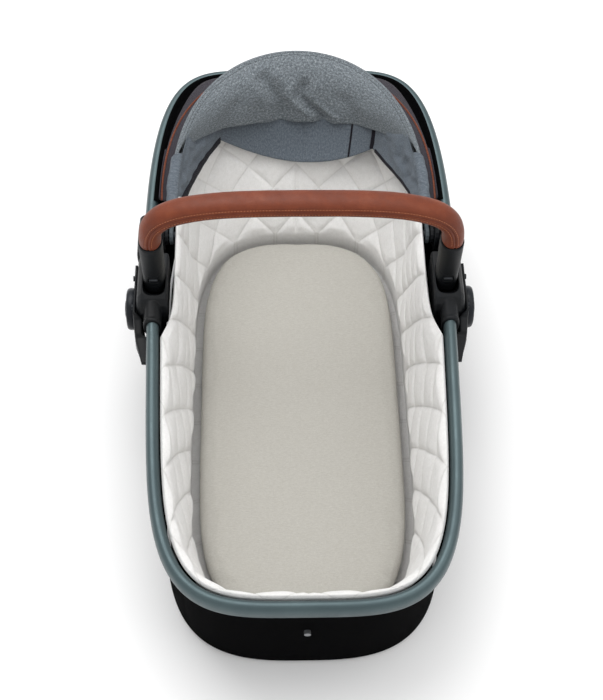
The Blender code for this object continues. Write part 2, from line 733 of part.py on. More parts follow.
def hood_frame():
    hinge = (HOOD_Y, HOOD_Z)
    bore = HOOD_PIN_RADIUS + GAP
    for name, bow, angle in (("hood_front_bow", FRONT_BOW, FRONT_BOW_ANGLE),
                             ("hood_middle_bow", MID_BOW, MID_BOW_ANGLE)):
        baked(path(name + "_draft", bow_line(bow, angle, BOW_START), radius=BOW_RADIUS), name, "bow_plastic")
        fitting = name.replace("hood_", "").replace("_bow", "_bow_end_right")
        low = bow["start"] - BOW_END_THICKNESS / 2
        arm = BOW_START - GAP
        c, s = math.cos(angle), math.sin(angle)
        outline = [(HOOD_Y + y * c - z * s, HOOD_Z + y * s + z * c)
                   for y, z in arc((0, 0), 0.013, 40, 320, 10) + [(arm, -0.0065), (arm, 0.0065)]]
        piece = bevel(prism(fitting, outline, low, low + BOW_END_THICKNESS), 0.0008, 1, 60.0)
        boolean(piece, rod(fitting + "_hole", bore, 0.15, 0.25, hinge))
        pair(settle(piece, "black_plastic"))
    outline = arc((HOOD_Y, HOOD_Z + 0.006), 0.018, 0, 180, 8)
    outline += arc((HOOD_Y, HOOD_Z - 0.010), 0.018, 180, 360, 8)
    bracket = bevel(prism("hood_hinge_bracket_right", outline, 0.1993, SOCKET_INNER_X - GAP), 0.0010, 1)
    boolean(bracket, rod("bracket_bore", bore, 0.15, 0.25, hinge))
    pair(settle(bracket, "black_plastic"))
    pin = rod("hood_pivot_pin_right", HOOD_PIN_RADIUS, 0.1838, 0.2054, hinge)
    boolean(pin, rod("pin_head", HOOD_PIN_HEAD_RADIUS, 0.1838, 0.1862, hinge), "UNION")
    pair(settle(pin, "steel"))


def hood_fabric():
    outer_edge = bow_line(MID_BOW, MID_BOW_ANGLE, 0.060, FABRIC_PROUD + 0.005, -0.004)
    rim_edge = rim_side_line(0.0105, 0.0165, outer_edge[0][1] + 0.004)
    strip("hood_rear_panel", rim_edge, outer_edge, "rear_fabric", 1)
    low = bow_line(MID_BOW, MID_BOW_ANGLE, 0.100, FABRIC_PROUD + 0.001)
    high = bow_line(FRONT_BOW, FRONT_BOW_ANGLE, 0.100, FABRIC_PROUD + 0.002, -0.003)
    strip("hood_front_panel", low, high, "hood_fabric", 1)
    top = bow_line(FRONT_BOW, FRONT_BOW_ANGLE, 0.110, -0.0055, 0.001)
    lower_edge = edge_line(0.177, 0.378, 1.75, 2.2, 0.240, VISOR_DROP, 0.177)
    strip("hood_visor", top, lower_edge, "hood_fabric", 3, -0.012)
    inner = bow_line(FRONT_BOW, FRONT_BOW_ANGLE, 0.165, -0.012, -0.0155)
    hem = edge_line(0.147, 0.337, 1.3, 3.0, 0.275, LINING_DROP, 0.174)
    strip("hood_lining", inner, hem, "lining_fabric", 3, 0.010)


def rim_side_line(inward, lift, start, count=26):
    """A line along the inside of the rear tube, from the right side round the head end."""
    half = inset(RIM_LINE, inward)
    half = even(np.array([p for p in half if p[1] >= start]), count // 2)
    half[-1, 0] = 0
    points = [(x, y, rim_z(y) + lift) for x, y in half]
    return points + [(-x, y, z) for x, y, z in points[-2::-1]]


hood_frame()
hood_fabric()


def set_origin(name, place):
    """Put a moving piece's origin on its joint's axis without moving the piece."""
    obj = bpy.data.objects[name]
    obj.data.transform(Matrix.Translation([-value for value in place]))
    obj.location = place


for side, sign in (("right", 1), ("left", -1)):
    set_origin(f"handle_end_{side}", (sign * HANDLE_X, *PIVOT))
    for piece in ("front_bow_end", "middle_bow_end"):
        set_origin(f"{piece}_{side}", (sign * FRONT_BOW["start"], HOOD_Y, HOOD_Z))
    set_origin(f"adaptor_button_{side}", (sign * ADAPTOR_OUTER_X, ADAPTOR_Y, ADAPTOR_Z))
for piece in ("handle_core_tube", "handle_leather_wrap"):
    set_origin(piece, (0, *PIVOT))
for piece in ("hood_front_bow", "hood_middle_bow", "hood_front_panel", "hood_visor", "hood_lining"):
    set_origin(piece, (0, HOOD_Y, HOOD_Z))
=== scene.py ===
"""Looks of the carrycot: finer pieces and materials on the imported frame."""
import json
import math

import bmesh
import bpy
import numpy as np
from mathutils import Matrix, Vector, noise


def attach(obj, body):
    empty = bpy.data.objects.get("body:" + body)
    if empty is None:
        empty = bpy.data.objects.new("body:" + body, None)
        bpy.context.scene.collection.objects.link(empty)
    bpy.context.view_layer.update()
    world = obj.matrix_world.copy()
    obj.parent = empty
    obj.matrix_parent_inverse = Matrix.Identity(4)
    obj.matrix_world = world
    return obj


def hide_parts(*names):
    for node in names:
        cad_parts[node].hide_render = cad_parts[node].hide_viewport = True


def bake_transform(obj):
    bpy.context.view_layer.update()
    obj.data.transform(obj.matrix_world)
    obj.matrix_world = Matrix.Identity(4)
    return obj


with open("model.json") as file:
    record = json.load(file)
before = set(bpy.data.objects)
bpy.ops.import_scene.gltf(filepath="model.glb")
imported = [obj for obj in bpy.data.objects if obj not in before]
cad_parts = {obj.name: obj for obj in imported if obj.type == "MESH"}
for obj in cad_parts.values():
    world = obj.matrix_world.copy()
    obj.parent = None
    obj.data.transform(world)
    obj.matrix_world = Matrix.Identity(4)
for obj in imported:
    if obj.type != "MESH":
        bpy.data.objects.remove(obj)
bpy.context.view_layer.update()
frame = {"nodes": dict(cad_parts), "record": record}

# Sizes shared with the frame, in metres.
RIM_HEIGHT = 0.225
RIM_SLOPE = 0.08
RIM_WIDTH = 0.018
RIM_TALL = 0.030
FOOT_REACH = 0.447
HEAD_REACH = 0.436
FOOT_HALF_WIDTH = 0.212
HEAD_HALF_WIDTH = 0.2205
FRONT_TUBE_END = -0.002
REAR_TUBE_START = 0.088
BED_HALF_WIDTH = 0.161
MATTRESS_TOP = 0.065
MATTRESS_BOTTOM = 0.0259
LINER_FLOOR = 0.0196
SKIRT_LOW = 0.008
HANDLE_X = 0.210
PIVOT_Y = 0.043
PIVOT_Z = 0.236
HOOD_Y = 0.128
HOOD_Z = 0.235
FRONT_ANGLE = math.radians(14.0)
MIDDLE_ANGLE = math.radians(9.0)
FRONT_BOW = {"half": 0.190, "reach": 0.317, "power": 3.0, "start": 0.1892}
MIDDLE_BOW = {"half": 0.198, "reach": 0.308, "power": 3.4, "start": 0.1963}
CLEARANCE_BLEND = 0.02


# ---- materials

def linear(code):
    """A linear colour from a hex code."""
    parts = [int(code[i:i + 2], 16) / 255 for i in (1, 3, 5)]
    return tuple(p / 12.92 if p <= 0.04045 else ((p + 0.055) / 1.055) ** 2.4 for p in parts) + (1.0,)


def place_in_scene(name, data):
    """A new object for some data, in the scene."""
    obj = bpy.data.objects.new(name, data)
    bpy.context.scene.collection.objects.link(obj)
    return obj


class Look:
    """A node material under construction."""

    def __init__(self, name, **sockets):
        self.material = bpy.data.materials.new(name)
        self.material.use_nodes = True
        self.tree = self.material.node_tree
        self.shader = self.tree.nodes["Principled BSDF"]
        for key, value in sockets.items():
            self.shader.inputs[key.replace("_", " ").title().replace("Ior", "IOR")].default_value = value

    def node(self, kind, values=None, **settings):
        made = self.tree.nodes.new(kind)
        for key, value in settings.items():
            setattr(made, key, value)
        for key, value in (values or {}).items():
            if isinstance(value, bpy.types.NodeSocket):
                self.tree.links.new(value, made.inputs[key])
            else:
                made.inputs[key].default_value = value
        return made

    def place(self, source, scale=(1, 1, 1)):
        """Texture coordinates in metres, from the UV map or the object."""
        coordinates = self.node("ShaderNodeTexCoord")
        return self.node("ShaderNodeMapping", {"Vector": coordinates.outputs[source], "Scale": scale}).outputs[0]

    def noise(self, place, scale, detail=2.0, roughness=0.5):
        values = {"Vector": place, "Scale": scale, "Detail": detail, "Roughness": roughness}
        return self.node("ShaderNodeTexNoise", values).outputs["Fac"]

    def wave(self, place, scale, axis, distortion=0.0):
        values = {"Vector": place, "Scale": scale, "Distortion": distortion}
        made = self.node("ShaderNodeTexWave", values, bands_direction=axis)
        return made.outputs["Fac"]

    def ramp(self, fac, stops):
        made = self.node("ShaderNodeValToRGB", {"Fac": fac})
        band = made.color_ramp
        while len(band.elements) < len(stops):
            band.elements.new(0.5)
        for element, (at, colour) in zip(band.elements, stops):
            element.position = at
            element.color = linear(colour) if isinstance(colour, str) else (colour, colour, colour, 1.0)
        return made.outputs["Color"]

    def math(self, kind, a, b):
        return self.node("ShaderNodeMath", {0: a, 1: b}, operation=kind).outputs[0]

    def mix(self, fac, a, b):
        made = self.node("ShaderNodeMix", data_type="RGBA")
        for index, value in ((0, fac), (6, a), (7, b)):
            if isinstance(value, bpy.types.NodeSocket):
                self.tree.links.new(value, made.inputs[index])
            else:
                made.inputs[index].default_value = value
        return made.outputs[2]

    def quilt_lines(self):
        """1 on the sewn diagonals and 0 off them, broken up into stitches along each line."""
        marks = self.node("ShaderNodeAttribute", attribute_name="quilt")
        split = self.node("ShaderNodeSeparateXYZ", {"Vector": marks.outputs["Vector"]})
        lines = []
        for along, over in (("X", "Y"), ("Y", "X")):
            off = self.math("PINGPONG", split.outputs[over], 0.5)
            line = self.math("SUBTRACT", 1.0, self.math("DIVIDE", off, 0.030))
            line = self.math("MAXIMUM", line, 0.0)
            dash = self.math("PINGPONG", self.math("MULTIPLY", split.outputs[along], 22.0), 0.5)
            dash = self.math("GREATER_THAN", dash, 0.12)
            lines.append(self.math("MULTIPLY", line, self.math("ADD", self.math("MULTIPLY", dash, 0.3), 0.7)))
        return self.math("MAXIMUM", *lines)

    def set(self, socket, value):
        self.tree.links.new(value, self.shader.inputs[socket])

    def bump(self, height, distance, strength=1.0):
        values = {"Height": height, "Distance": distance, "Strength": strength}
        self.set("Normal", self.node("ShaderNodeBump", values).outputs[0])


def cloth_look(name, dark, middle, light, fleck, stretch, thread, depth, sheen, source="UV", roughness=0.9,
               shine=0.2, quilted=False):
    """Woven or knitted cloth: flecked yarn colours with a fine thread relief."""
    look = Look(name, roughness=roughness, sheen_weight=sheen, sheen_roughness=0.5, specular_ior_level=shine)
    coarse = look.noise(look.place(source, stretch), fleck, 3.0, 0.7)
    fine = look.noise(look.place(source), fleck * 2.7, 2.0, 0.6)
    shade = look.math("ADD", look.math("MULTIPLY", coarse, 0.6), look.math("MULTIPLY", fine, 0.4))
    colour = look.ramp(shade, [(0.34, dark), (0.5, middle), (0.66, light)])
    place = look.place(source)
    warp = look.wave(place, thread, "X", 0.6)
    weft = look.wave(place, thread, "Y", 0.6)
    relief = look.math("ADD", look.math("MULTIPLY", warp, weft), look.math("MULTIPLY", fine, 0.8))
    if quilted:
        line = look.quilt_lines()
        # Painted shade: the sewn lines are tinted darker, towards #b4b0a8, standing in for the shade in their
        # grooves; the dashes along them follow the stitches.
        colour = look.mix(look.math("MULTIPLY", line, 0.24), colour, linear("#b4b0a8"))
        relief = look.math("SUBTRACT", relief, look.math("MULTIPLY", line, 2.5))
    look.set("Base Color", colour)
    look.bump(relief, depth)
    return look.material


def plastic_look(name, colour, worn, roughness):
    """Moulded plastic with a fine texture and dull rubbed patches."""
    look = Look(name, specular_ior_level=0.22)
    place = look.place("Object")
    patches = look.noise(place, 22, 5.0, 0.65)
    look.set("Base Color", look.ramp(patches, [(0.42, colour), (0.75, worn)]))
    grain = look.noise(place, 1400, 2.0, 0.6)
    look.set("Roughness", look.ramp(patches, [(0.3, roughness), (0.7, roughness + 0.14)]))
    look.bump(grain, 0.00012)
    return look.material


def paint_look(name):
    """Satin metallic paint on the rim, slightly mottled and rubbed."""
    look = Look(name, metallic=0.55, coat_weight=0.12, coat_roughness=0.35)
    place = look.place("Object")
    mottle = look.noise(place, 9, 4.0, 0.6)
    flake = look.noise(place, 2600, 1.0, 0.5)
    base = look.ramp(mottle, [(0.35, "#3c4b4f"), (0.65, "#465659")])
    look.set("Base Color", look.mix(0.18, base, look.ramp(flake, [(0.4, "#37474a"), (0.6, "#6c7e80")])))
    look.set("Roughness", look.ramp(look.noise(place, 60, 5.0, 0.7), [(0.35, 0.36), (0.7, 0.5)]))
    look.bump(flake, 0.00005)
    return look.material


def leather_look(name):
    """Tan leather: pebbled grain, darker hollows and a soft shine."""
    look = Look(name, specular_ior_level=0.3, coat_weight=0.03, coat_roughness=0.4)
    place = look.place("Object")
    cells = look.node("ShaderNodeTexVoronoi", {"Vector": place, "Scale": 620.0, "Randomness": 1.0})
    pores = cells.outputs["Distance"]
    tone = look.noise(place, 26, 6.0, 0.62)
    base = look.ramp(tone, [(0.3, "#622a14"), (0.52, "#733318"), (0.75, "#824022")])
    look.set("Base Color", look.mix(look.math("MULTIPLY", pores, 0.35), base, linear("#4c1f0e")))
    look.set("Roughness", look.ramp(look.noise(place, 90, 4.0, 0.6), [(0.3, 0.42), (0.7, 0.6)]))
    grain = look.math("ADD", look.math("MULTIPLY", pores, -1.0), look.math("MULTIPLY", tone, 0.6))
    look.bump(grain, 0.00035, 0.8)
    return look.material


def metal_look(name, colour="#a4a6a8", roughness=0.36, dark="#7c7e81"):
    """Brushed steel."""
    look = Look(name, metallic=1.0)
    streaks = look.noise(look.place("Object", (1, 14, 14)), 260, 3.0, 0.6)
    look.set("Base Color", look.ramp(streaks, [(0.3, dark), (0.7, colour)]))
    look.set("Roughness", look.ramp(streaks, [(0.3, roughness), (0.7, roughness + 0.16)]))
    look.bump(streaks, 0.00005)
    return look.material


PAINT = paint_look("rim_paint_look")
PLASTIC = plastic_look("black_plastic_look", "#0a0c0e", "#13161a", 0.42)
SATIN = plastic_look("adaptor_plastic_look", "#16191e", "#22272e", 0.26)
GREY_PLASTIC = plastic_look("hinge_plastic_look", "#3a4145", "#4a5256", 0.45)
BODY_CLOTH = cloth_look("body_cloth_look", "#020203", "#070708", "#101013", 240, (1, 1, 1), 700, 0.0006, 0.004,
                        shine=0.015)
QUILT = cloth_look("quilt_look", "#ecebe9", "#f2f1ef", "#f8f7f6", 160, (1, 1, 1), 900, 0.0002, 0.15,
                   quilted=True)
BED = cloth_look("bed_cloth_look", "#bfbcb3", "#c7c4bc", "#cfcdc5", 190, (1, 3, 1), 800, 0.0003, 0.1, "Object")
MELANGE = cloth_look("melange_look", "#4d5459", "#777f85", "#b0b7bb", 260, (1, 1.6, 1), 700, 0.0005, 0.1)
LINING = cloth_look("lining_look", "#4c535c", "#636c75", "#7c858d", 420, (1, 1, 1), 900, 0.0003, 0.1)
CHARCOAL = cloth_look("charcoal_look", "#28252c", "#36323a", "#4a464e", 420, (1, 1.4, 1), 760, 0.0004, 0.1)
BINDING = cloth_look("binding_look", "#0f0d13", "#17151d", "#221f2a", 500, (1, 1, 1), 900, 0.0003, 0.05)
PIPING = cloth_look("piping_look", "#5e2c1c", "#7a3f2a", "#9a5a40", 500, (1, 1, 1), 900, 0.0003, 0.1, "Object")
THREAD = cloth_look("thread_look", "#96573a", "#ad6c4a", "#c4855f", 900, (1, 1, 1), 2500, 0.0001, 0.1, "Object")
GREY_THREAD = cloth_look("grey_thread_look", "#2c3135", "#3c4246", "#4c5256", 900, (1, 1, 1), 2500, 0.0001, 0.05,
                         "Object")
LEATHER = leather_look("leather_look")
METAL = metal_look("steel_look")
RUBBER = plastic_look("rubber_look", "#0c0c0c", "#141414", 0.8)
BOARD = cloth_look("board_look", "#6a5a48", "#7a6a56", "#8a7a66", 120, (1, 6, 1), 300, 0.0002, 0.0, "Object", 0.8)

NODE_LOOKS = {
    "rim_paint": PAINT, "black_plastic": PLASTIC, "black_fabric": BODY_CLOTH, "liner_fabric": QUILT,
    "mattress_fabric": BED, "leather_tan": LEATHER, "hood_fabric": MELANGE, "lining_fabric": LINING,
    "rear_fabric": CHARCOAL, "steel": METAL, "rubber": RUBBER, "board": BOARD, "bow_plastic": PLASTIC,
}
DULL_METAL = metal_look("dull_steel_look", "#5c5f63", 0.42, "#3c3e41")
DARK_METAL = metal_look("blackened_steel_look", "#34363a", 0.5, "#1c1e20")
OTHER_LOOKS = {"bracket_screw": SATIN, "hood_pivot_pin": SATIN, "handle_catch": DULL_METAL,
               "front_bow_end": GREY_PLASTIC, "handle_pivot_pin": DARK_METAL, "adaptor_spring": DARK_METAL,
               "catch_spring": DARK_METAL}
for entry in frame["record"]["subparts"]:
    node = frame["nodes"][entry["node"]]
    other = [look for start, look in OTHER_LOOKS.items() if entry["node"].startswith(start)]
    node.data.materials.clear()
    node.data.materials.append(other[0] if other else NODE_LOOKS[entry["material_slot"]])


# ---- camera, light and floor

def camera():
    tilt, roll, yaw = math.radians(54.71), math.radians(1.69), math.radians(2.66)
    ahead = Vector((math.sin(yaw) * math.cos(tilt), math.cos(yaw) * math.cos(tilt), -math.sin(tilt)))
    level = Vector((math.cos(yaw), -math.sin(yaw), 0))
    below = Vector((-math.sin(yaw) * math.sin(tilt), -math.cos(yaw) * math.sin(tilt), -math.cos(tilt)))
    right = math.cos(roll) * level - math.sin(roll) * below
    down = math.sin(roll) * level + math.cos(roll) * below
    data = bpy.data.cameras.new("camera")
    data.lens = 66.86
    data.sensor_width = 36.0
    data.dof.use_dof = False
    obj = place_in_scene("camera", data)
    obj.matrix_world = Matrix.Translation((-0.0501, -1.1239, 1.711)) @ Matrix(
        [(right[i], -down[i], -ahead[i]) for i in range(3)]).to_4x4()
    bpy.context.scene.camera = obj


def area_light(name, place, aim, size, power):
    data = bpy.data.lights.new(name, "AREA")
    data.shape = "SQUARE"
    data.size = size
    data.energy = power
    obj = place_in_scene(name, data)
    obj.location = place
    obj.rotation_euler = (Vector(aim) - Vector(place)).to_track_quat("-Z", "Y").to_euler()


def studio():
    world = bpy.data.worlds.new("studio")
    world.use_nodes = True
    world.node_tree.nodes["Background"].inputs["Color"].default_value = (1.0, 1.0, 1.0, 1.0)
    world.node_tree.nodes["Background"].inputs["Strength"].default_value = 0.84
    bpy.context.scene.world = world
    bpy.context.scene.view_settings.view_transform = "Standard"
    area_light("key", (-0.45, 0.75, 2.3), (0, 0, 0.15), 1.8, 36)
    area_light("fill", (1.1, -0.3, 2.1), (0, 0.1, 0.15), 1.8, 10)
    bm = bmesh.new()
    bmesh.ops.create_circle(bm, cap_ends=True, segments=64, radius=6.0)
    mesh = bpy.data.meshes.new("floor")
    bm.to_mesh(mesh)
    bm.free()
    look = Look("floor_look", roughness=0.7)
    tone = look.noise(look.place("Object"), 1.5, 2.0, 0.5)
    look.set("Base Color", look.ramp(tone, [(0.3, "#f7f7f7"), (0.7, "#fbfbfb")]))
    mesh.materials.append(look.material)
    obj = place_in_scene("floor", mesh)
    obj.location.z = -0.0005


camera()
studio()


# ---- shape helpers

def even(points, count):
    """Resample a polyline to count + 1 points at equal steps along it."""
    points = np.array(points, float)
    travel = np.concatenate([[0], np.cumsum(np.linalg.norm(np.diff(points, axis=0), axis=1))])
    wanted = np.linspace(0, travel[-1], count + 1)
    return np.column_stack([np.interp(wanted, travel, points[:, i]) for i in range(points.shape[1])])


def egg(foot, head, samples=600):
    """The +X half of an egg-shaped plan, from the foot's middle to the head's middle."""
    turn = np.linspace(math.pi / 2, 0, samples)
    reach = np.sin(turn) ** (2 / foot["power"])
    side = (foot["half"] - foot["taper"] * reach) * np.cos(turn) ** (2 / foot["round"])
    front = np.column_stack([side, -foot["reach"] * reach])
    turn = np.linspace(0, math.pi / 2, samples)
    reach = np.sin(turn) ** (2 / head["power"])
    side = head["half"] * np.cos(turn) ** (2 / head["round"])
    back = np.column_stack([side, head["start"] + (head["reach"] - head["start"]) * reach])
    line = np.vstack([front, back[1:] if head["start"] == 0 else back])
    line[0, 0] = 0
    line[-1, 0] = 0
    return line


def inset(line, amount):
    """Shift a half plan inwards along its normals."""
    run = unit(np.gradient(line, axis=0))
    inward = np.column_stack([-run[:, 1], run[:, 0]])
    if line[0, 0] == 0:
        inward[0] = (0, 1)
    if line[-1, 0] == 0:
        inward[-1] = (0, -1)
    moved = line + amount * inward
    moved[:, 0] = np.maximum(moved[:, 0], 0)
    return moved


RIM_LINE = even(egg({"reach": FOOT_REACH, "half": FOOT_HALF_WIDTH, "taper": 0.014, "round": 4.0, "power": 6.0},
                    {"reach": HEAD_REACH, "half": HEAD_HALF_WIDTH, "start": 0.080, "round": 6.5,
                     "power": 2.75}), 400)
BASE_LINE = even(egg({"reach": 0.442, "half": 0.209, "taper": 0.014, "round": 3.0, "power": 6.4},
                     {"reach": 0.431, "half": 0.2155, "start": 0.080, "round": 6.0, "power": 2.5}), 400)
BED_LINE = even(egg({"reach": 0.415, "half": BED_HALF_WIDTH, "taper": 0.0, "round": 2.5, "power": 6.0},
                    {"reach": 0.276, "half": BED_HALF_WIDTH, "start": 0.0, "round": 2.8, "power": 4.0}), 400)


def rim_z(y):
    return RIM_HEIGHT + RIM_SLOPE * y


def mirrored(right):
    """A right half line that ends at the middle, with its mirror image after it."""
    return np.vstack([right, right[-2::-1] * (-1, 1, 1)])


def unit(vectors):
    return vectors / np.linalg.norm(vectors, axis=1)[:, None]


def smoothstep(share):
    return share * share * (3 - 2 * share)


def flat(height):
    return lambda y: height + 0 * y


def ring(line, inward, height, count=220, limit=None):
    """A closed ring: a half plan shifted inwards and mirrored, at a height of y."""
    half = even(inset(line, inward), count)
    if limit:
        widest, front, back = limit
        past = np.maximum(front - half[:, 1], half[:, 1] - back)
        room = widest + 0.25 * (past + np.sqrt(past ** 2 + CLEARANCE_BLEND ** 2))
        half[:, 0] = np.minimum(half[:, 0], room)
    right = np.column_stack([half, height(half[:, 1])])
    left = right[-2:0:-1] * (-1, 1, 1)
    return np.vstack([right, left])


def stack(rings, steps):
    """Rows of points through rings, with a number of steps between each two."""
    rows = [rings[0]]
    for a, b, count in zip(rings, rings[1:], steps):
        rows += [a + (b - a) * (k / count) for k in range(1, count + 1)]
    return np.array(rows)


def surface_normals(rows, loop):
    """Unit normals of a grid of points."""
    along = np.gradient(rows, axis=1)
    if loop:
        along = (np.roll(rows, -1, axis=1) - np.roll(rows, 1, axis=1)) / 2
    across = np.gradient(rows, axis=0)
    normal = np.cross(along, across)
    return normal / np.maximum(np.linalg.norm(normal, axis=2, keepdims=True), 1e-12)


def distances(rows, axis):
    """Travel in metres along an axis of a grid, averaged over the other."""
    steps = np.linalg.norm(np.diff(rows, axis=axis), axis=2).mean(axis=1 - axis)
    return np.concatenate([[0], np.cumsum(steps)])


def surface(name, rows, look, loop=False, tube=False, caps=False, share=None, marks=None):
    """A smooth quad grid through rows of points, mapped in metres. Loop joins its columns and tube its rows."""
    rows = np.array(rows, float)
    count, width = rows.shape[:2]
    low, left = np.meshgrid(np.arange(count if tube else count - 1), np.arange(width if loop else width - 1),
                            indexing="ij")
    low, left = low.ravel(), left.ravel()
    high, right = low + 1, left + 1
    corners = [(low, left), (low, right), (high, right), (high, left)]
    faces = np.column_stack([(a % count) * width + b % width for a, b in corners]).tolist()
    u = distances(rows, 1)
    v = distances(rows, 0)
    u = np.append(u, u[-1] + np.linalg.norm(rows[:, 0] - rows[:, -1], axis=1).mean())
    v = np.append(v, v[-1] + np.linalg.norm(rows[0] - rows[-1], axis=1).mean())
    places = np.stack([np.column_stack([u[b], v[a]]) for a, b in corners], axis=1).reshape(-1, 2)
    if caps:
        ends = [list(range(width)), list(range((count - 1) * width, count * width))]
        faces += ends
        flat_rows = rows.reshape(-1, 3)
        places = np.vstack([places] + [flat_rows[end][:, :2] for end in ends])
    mesh = bpy.data.meshes.new(name)
    mesh.from_pydata(rows.reshape(-1, 3).tolist(), [], faces)
    mesh.uv_layers.new(name="metres").data.foreach_set("uv", places.astype(np.float32).ravel())
    if share is not None:
        spread = np.repeat(np.array(share, float), width) if np.ndim(share) == 1 else np.array(share, float).ravel()
        mesh.attributes.new("share", "FLOAT", "POINT").data.foreach_set("value", spread.astype(np.float32))
    if marks is not None:
        flat_marks = np.array(marks, np.float32).ravel()
        mesh.attributes.new("quilt", "FLOAT_VECTOR", "POINT").data.foreach_set("vector", flat_marks)
    mesh.materials.append(look)
    obj = place_in_scene(name, mesh)
    bm = bmesh.new()
    bm.from_mesh(mesh)
    bmesh.ops.recalc_face_normals(bm, faces=bm.faces)
    bm.to_mesh(mesh)
    bm.free()
    mesh.shade_smooth()
    return obj


def bake(obj):
    """Apply an object's modifiers."""
    bpy.context.view_layer.update()
    fresh = bpy.data.meshes.new_from_object(obj.evaluated_get(bpy.context.evaluated_depsgraph_get()))
    obj.modifiers.clear()
    old = obj.data
    obj.data = fresh
    bpy.data.meshes.remove(old)
    return obj


def thicken(obj, thickness):
    """Give an open sheet two faces and closed edges."""
    step = obj.modifiers.new("thick", "SOLIDIFY")
    step.thickness = thickness
    step.offset = 0.0
    step.use_even_offset = False
    return bake(obj)


def settle(obj, body, slot, *nodes):
    """Put a piece on its body and let it stand for its CAD nodes, which are hidden. The slot is not used."""
    if nodes:
        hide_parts(*nodes)
    if body:
        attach(obj, body)
    return obj


def blended_sheet(name, rows, look, share, slot, node, bodies):
    """A stretched, thickened sheet between two bodies; it is attached to neither and does not bend."""
    obj = thicken(surface(name, rows, look, share=share), CLOTH_THICKNESS)
    settle(obj, None, slot, node)
    bend(obj, *bodies)


def bend(obj, a, b):
    """Read and drop a sheet's share attribute; its points are put back where they were, so the sheet does not bend.
    The bodies a and b are not used.
    """
    mesh = obj.data
    count = len(mesh.vertices)
    share = np.empty(count, np.float32)
    mesh.attributes["share"].data.foreach_get("value", share)
    mesh.attributes.remove(mesh.attributes["share"])
    places = np.empty(count * 3, np.float32)
    mesh.vertices.foreach_get("co", places)
    even_share = 0.5 - np.sin(np.arcsin(1 - 2 * np.clip(share, 0, 1)) / 3)
    marks = np.zeros((count, 3), np.float32)
    marks[:, 0] = even_share
    mesh.vertices.foreach_set("co", marks.ravel())
    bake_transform(obj)
    mesh.vertices.foreach_set("co", places)
    mesh.update()
    return obj


def sweep_frames(points, axis):
    """Tangent, side and up vectors along a line, with up nearest to an axis."""
    points = np.array(points, float)
    run = unit(np.gradient(points, axis=0))
    axis = np.array(axis, float)
    up = unit(axis - (run @ axis)[:, None] * run)
    return points, np.cross(run, up), up


def sweep(name, points, section, look, axis=(0, 0, 1), closed=False):
    """A tube of one (side, up) section along a line."""
    points, side, up = sweep_frames(points, axis)
    section = np.array(section, float)
    if section.ndim == 2:
        section = np.repeat(section[None], len(points), axis=0)
    rows = points[:, None] + section[:, :, :1] * side[:, None] + section[:, :, 1:] * up[:, None]
    return surface(name, rows, look, loop=True, tube=closed, caps=not closed)


def oval(width, tall, power=2.0, sides=32):
    """A superellipse section."""
    turn = np.linspace(0, 2 * math.pi, sides, endpoint=False)
    c, s = np.cos(turn), np.sin(turn)
    return np.column_stack([width / 2 * np.sign(c) * np.abs(c) ** (2 / power),
                            tall / 2 * np.sign(s) * np.abs(s) ** (2 / power)])


def wobble(places, scale, seed):
    """Smooth noise from -1 to 1 at each point of a grid."""
    shape = places.shape[:-1]
    shift = Vector((seed * 7.3, seed * 3.1, seed * 5.7))
    values = [noise.noise(Vector(p) * scale + shift) for p in places.reshape(-1, 3)]
    return np.array(values).reshape(shape)


def stitches(name, line, normals, pitch, length, radius, look, sink=0.3):
    """A row of thread stitches lying along a line of points on a surface."""
    line = np.array(line, float)
    travel = np.concatenate([[0], np.cumsum(np.linalg.norm(np.diff(line, axis=0), axis=1))])
    count = max(1, int(travel[-1] / pitch))
    starts = (np.arange(count) + 0.5) * travel[-1] / count
    verts, faces = [], []
    ring_turn = np.linspace(0, 2 * math.pi, 6, endpoint=False)
    profile = [(-0.5, 0.45), (-0.3, 1.0), (0.3, 1.0), (0.5, 0.45)]
    for start in starts:
        centre = np.array([np.interp(start, travel, line[:, i]) for i in range(3)])
        ahead = np.array([np.interp(start + 0.0005, travel, line[:, i]) for i in range(3)]) - centre
        if np.linalg.norm(ahead) < 1e-9:
            continue
        ahead /= np.linalg.norm(ahead)
        up = np.array([np.interp(start, travel, normals[:, i]) for i in range(3)])
        up -= (up @ ahead) * ahead
        up /= np.linalg.norm(up)
        side = np.cross(ahead, up)
        base = len(verts)
        for along, size in profile:
            middle = centre + along * length * ahead + radius * (size - 1 - sink + 0.6) * up
            verts += [tuple(middle + radius * size * (math.cos(t) * side + math.sin(t) * up)) for t in ring_turn]
        for k in range(len(profile) - 1):
            for i in range(6):
                j = (i + 1) % 6
                faces.append((base + 6 * k + i, base + 6 * k + j, base + 6 * k + 6 + j, base + 6 * k + 6 + i))
        faces.append(tuple(base + i for i in range(6))[::-1])
        faces.append(tuple(base + 6 * (len(profile) - 1) + i for i in range(6)))
    mesh = bpy.data.meshes.new(name)
    mesh.from_pydata(verts, [], faces)
    mesh.materials.append(look)
    mesh.shade_smooth()
    return place_in_scene(name, mesh)


# ---- rim

def rim_line(low_y, high_y, half_width, steps):
    """The rim's centre line over part of its length, from the +X side round to the -X side."""
    half = np.array([p for p in RIM_LINE if low_y <= p[1] <= high_y])
    front = high_y < 0.05
    if front:
        half = half[::-1]
    half = even(np.vstack([(half_width, high_y if front else low_y), half]), steps)
    half[-1, 0] = 0
    right = np.column_stack([half, rim_z(half[:, 1])])
    return mirrored(right)


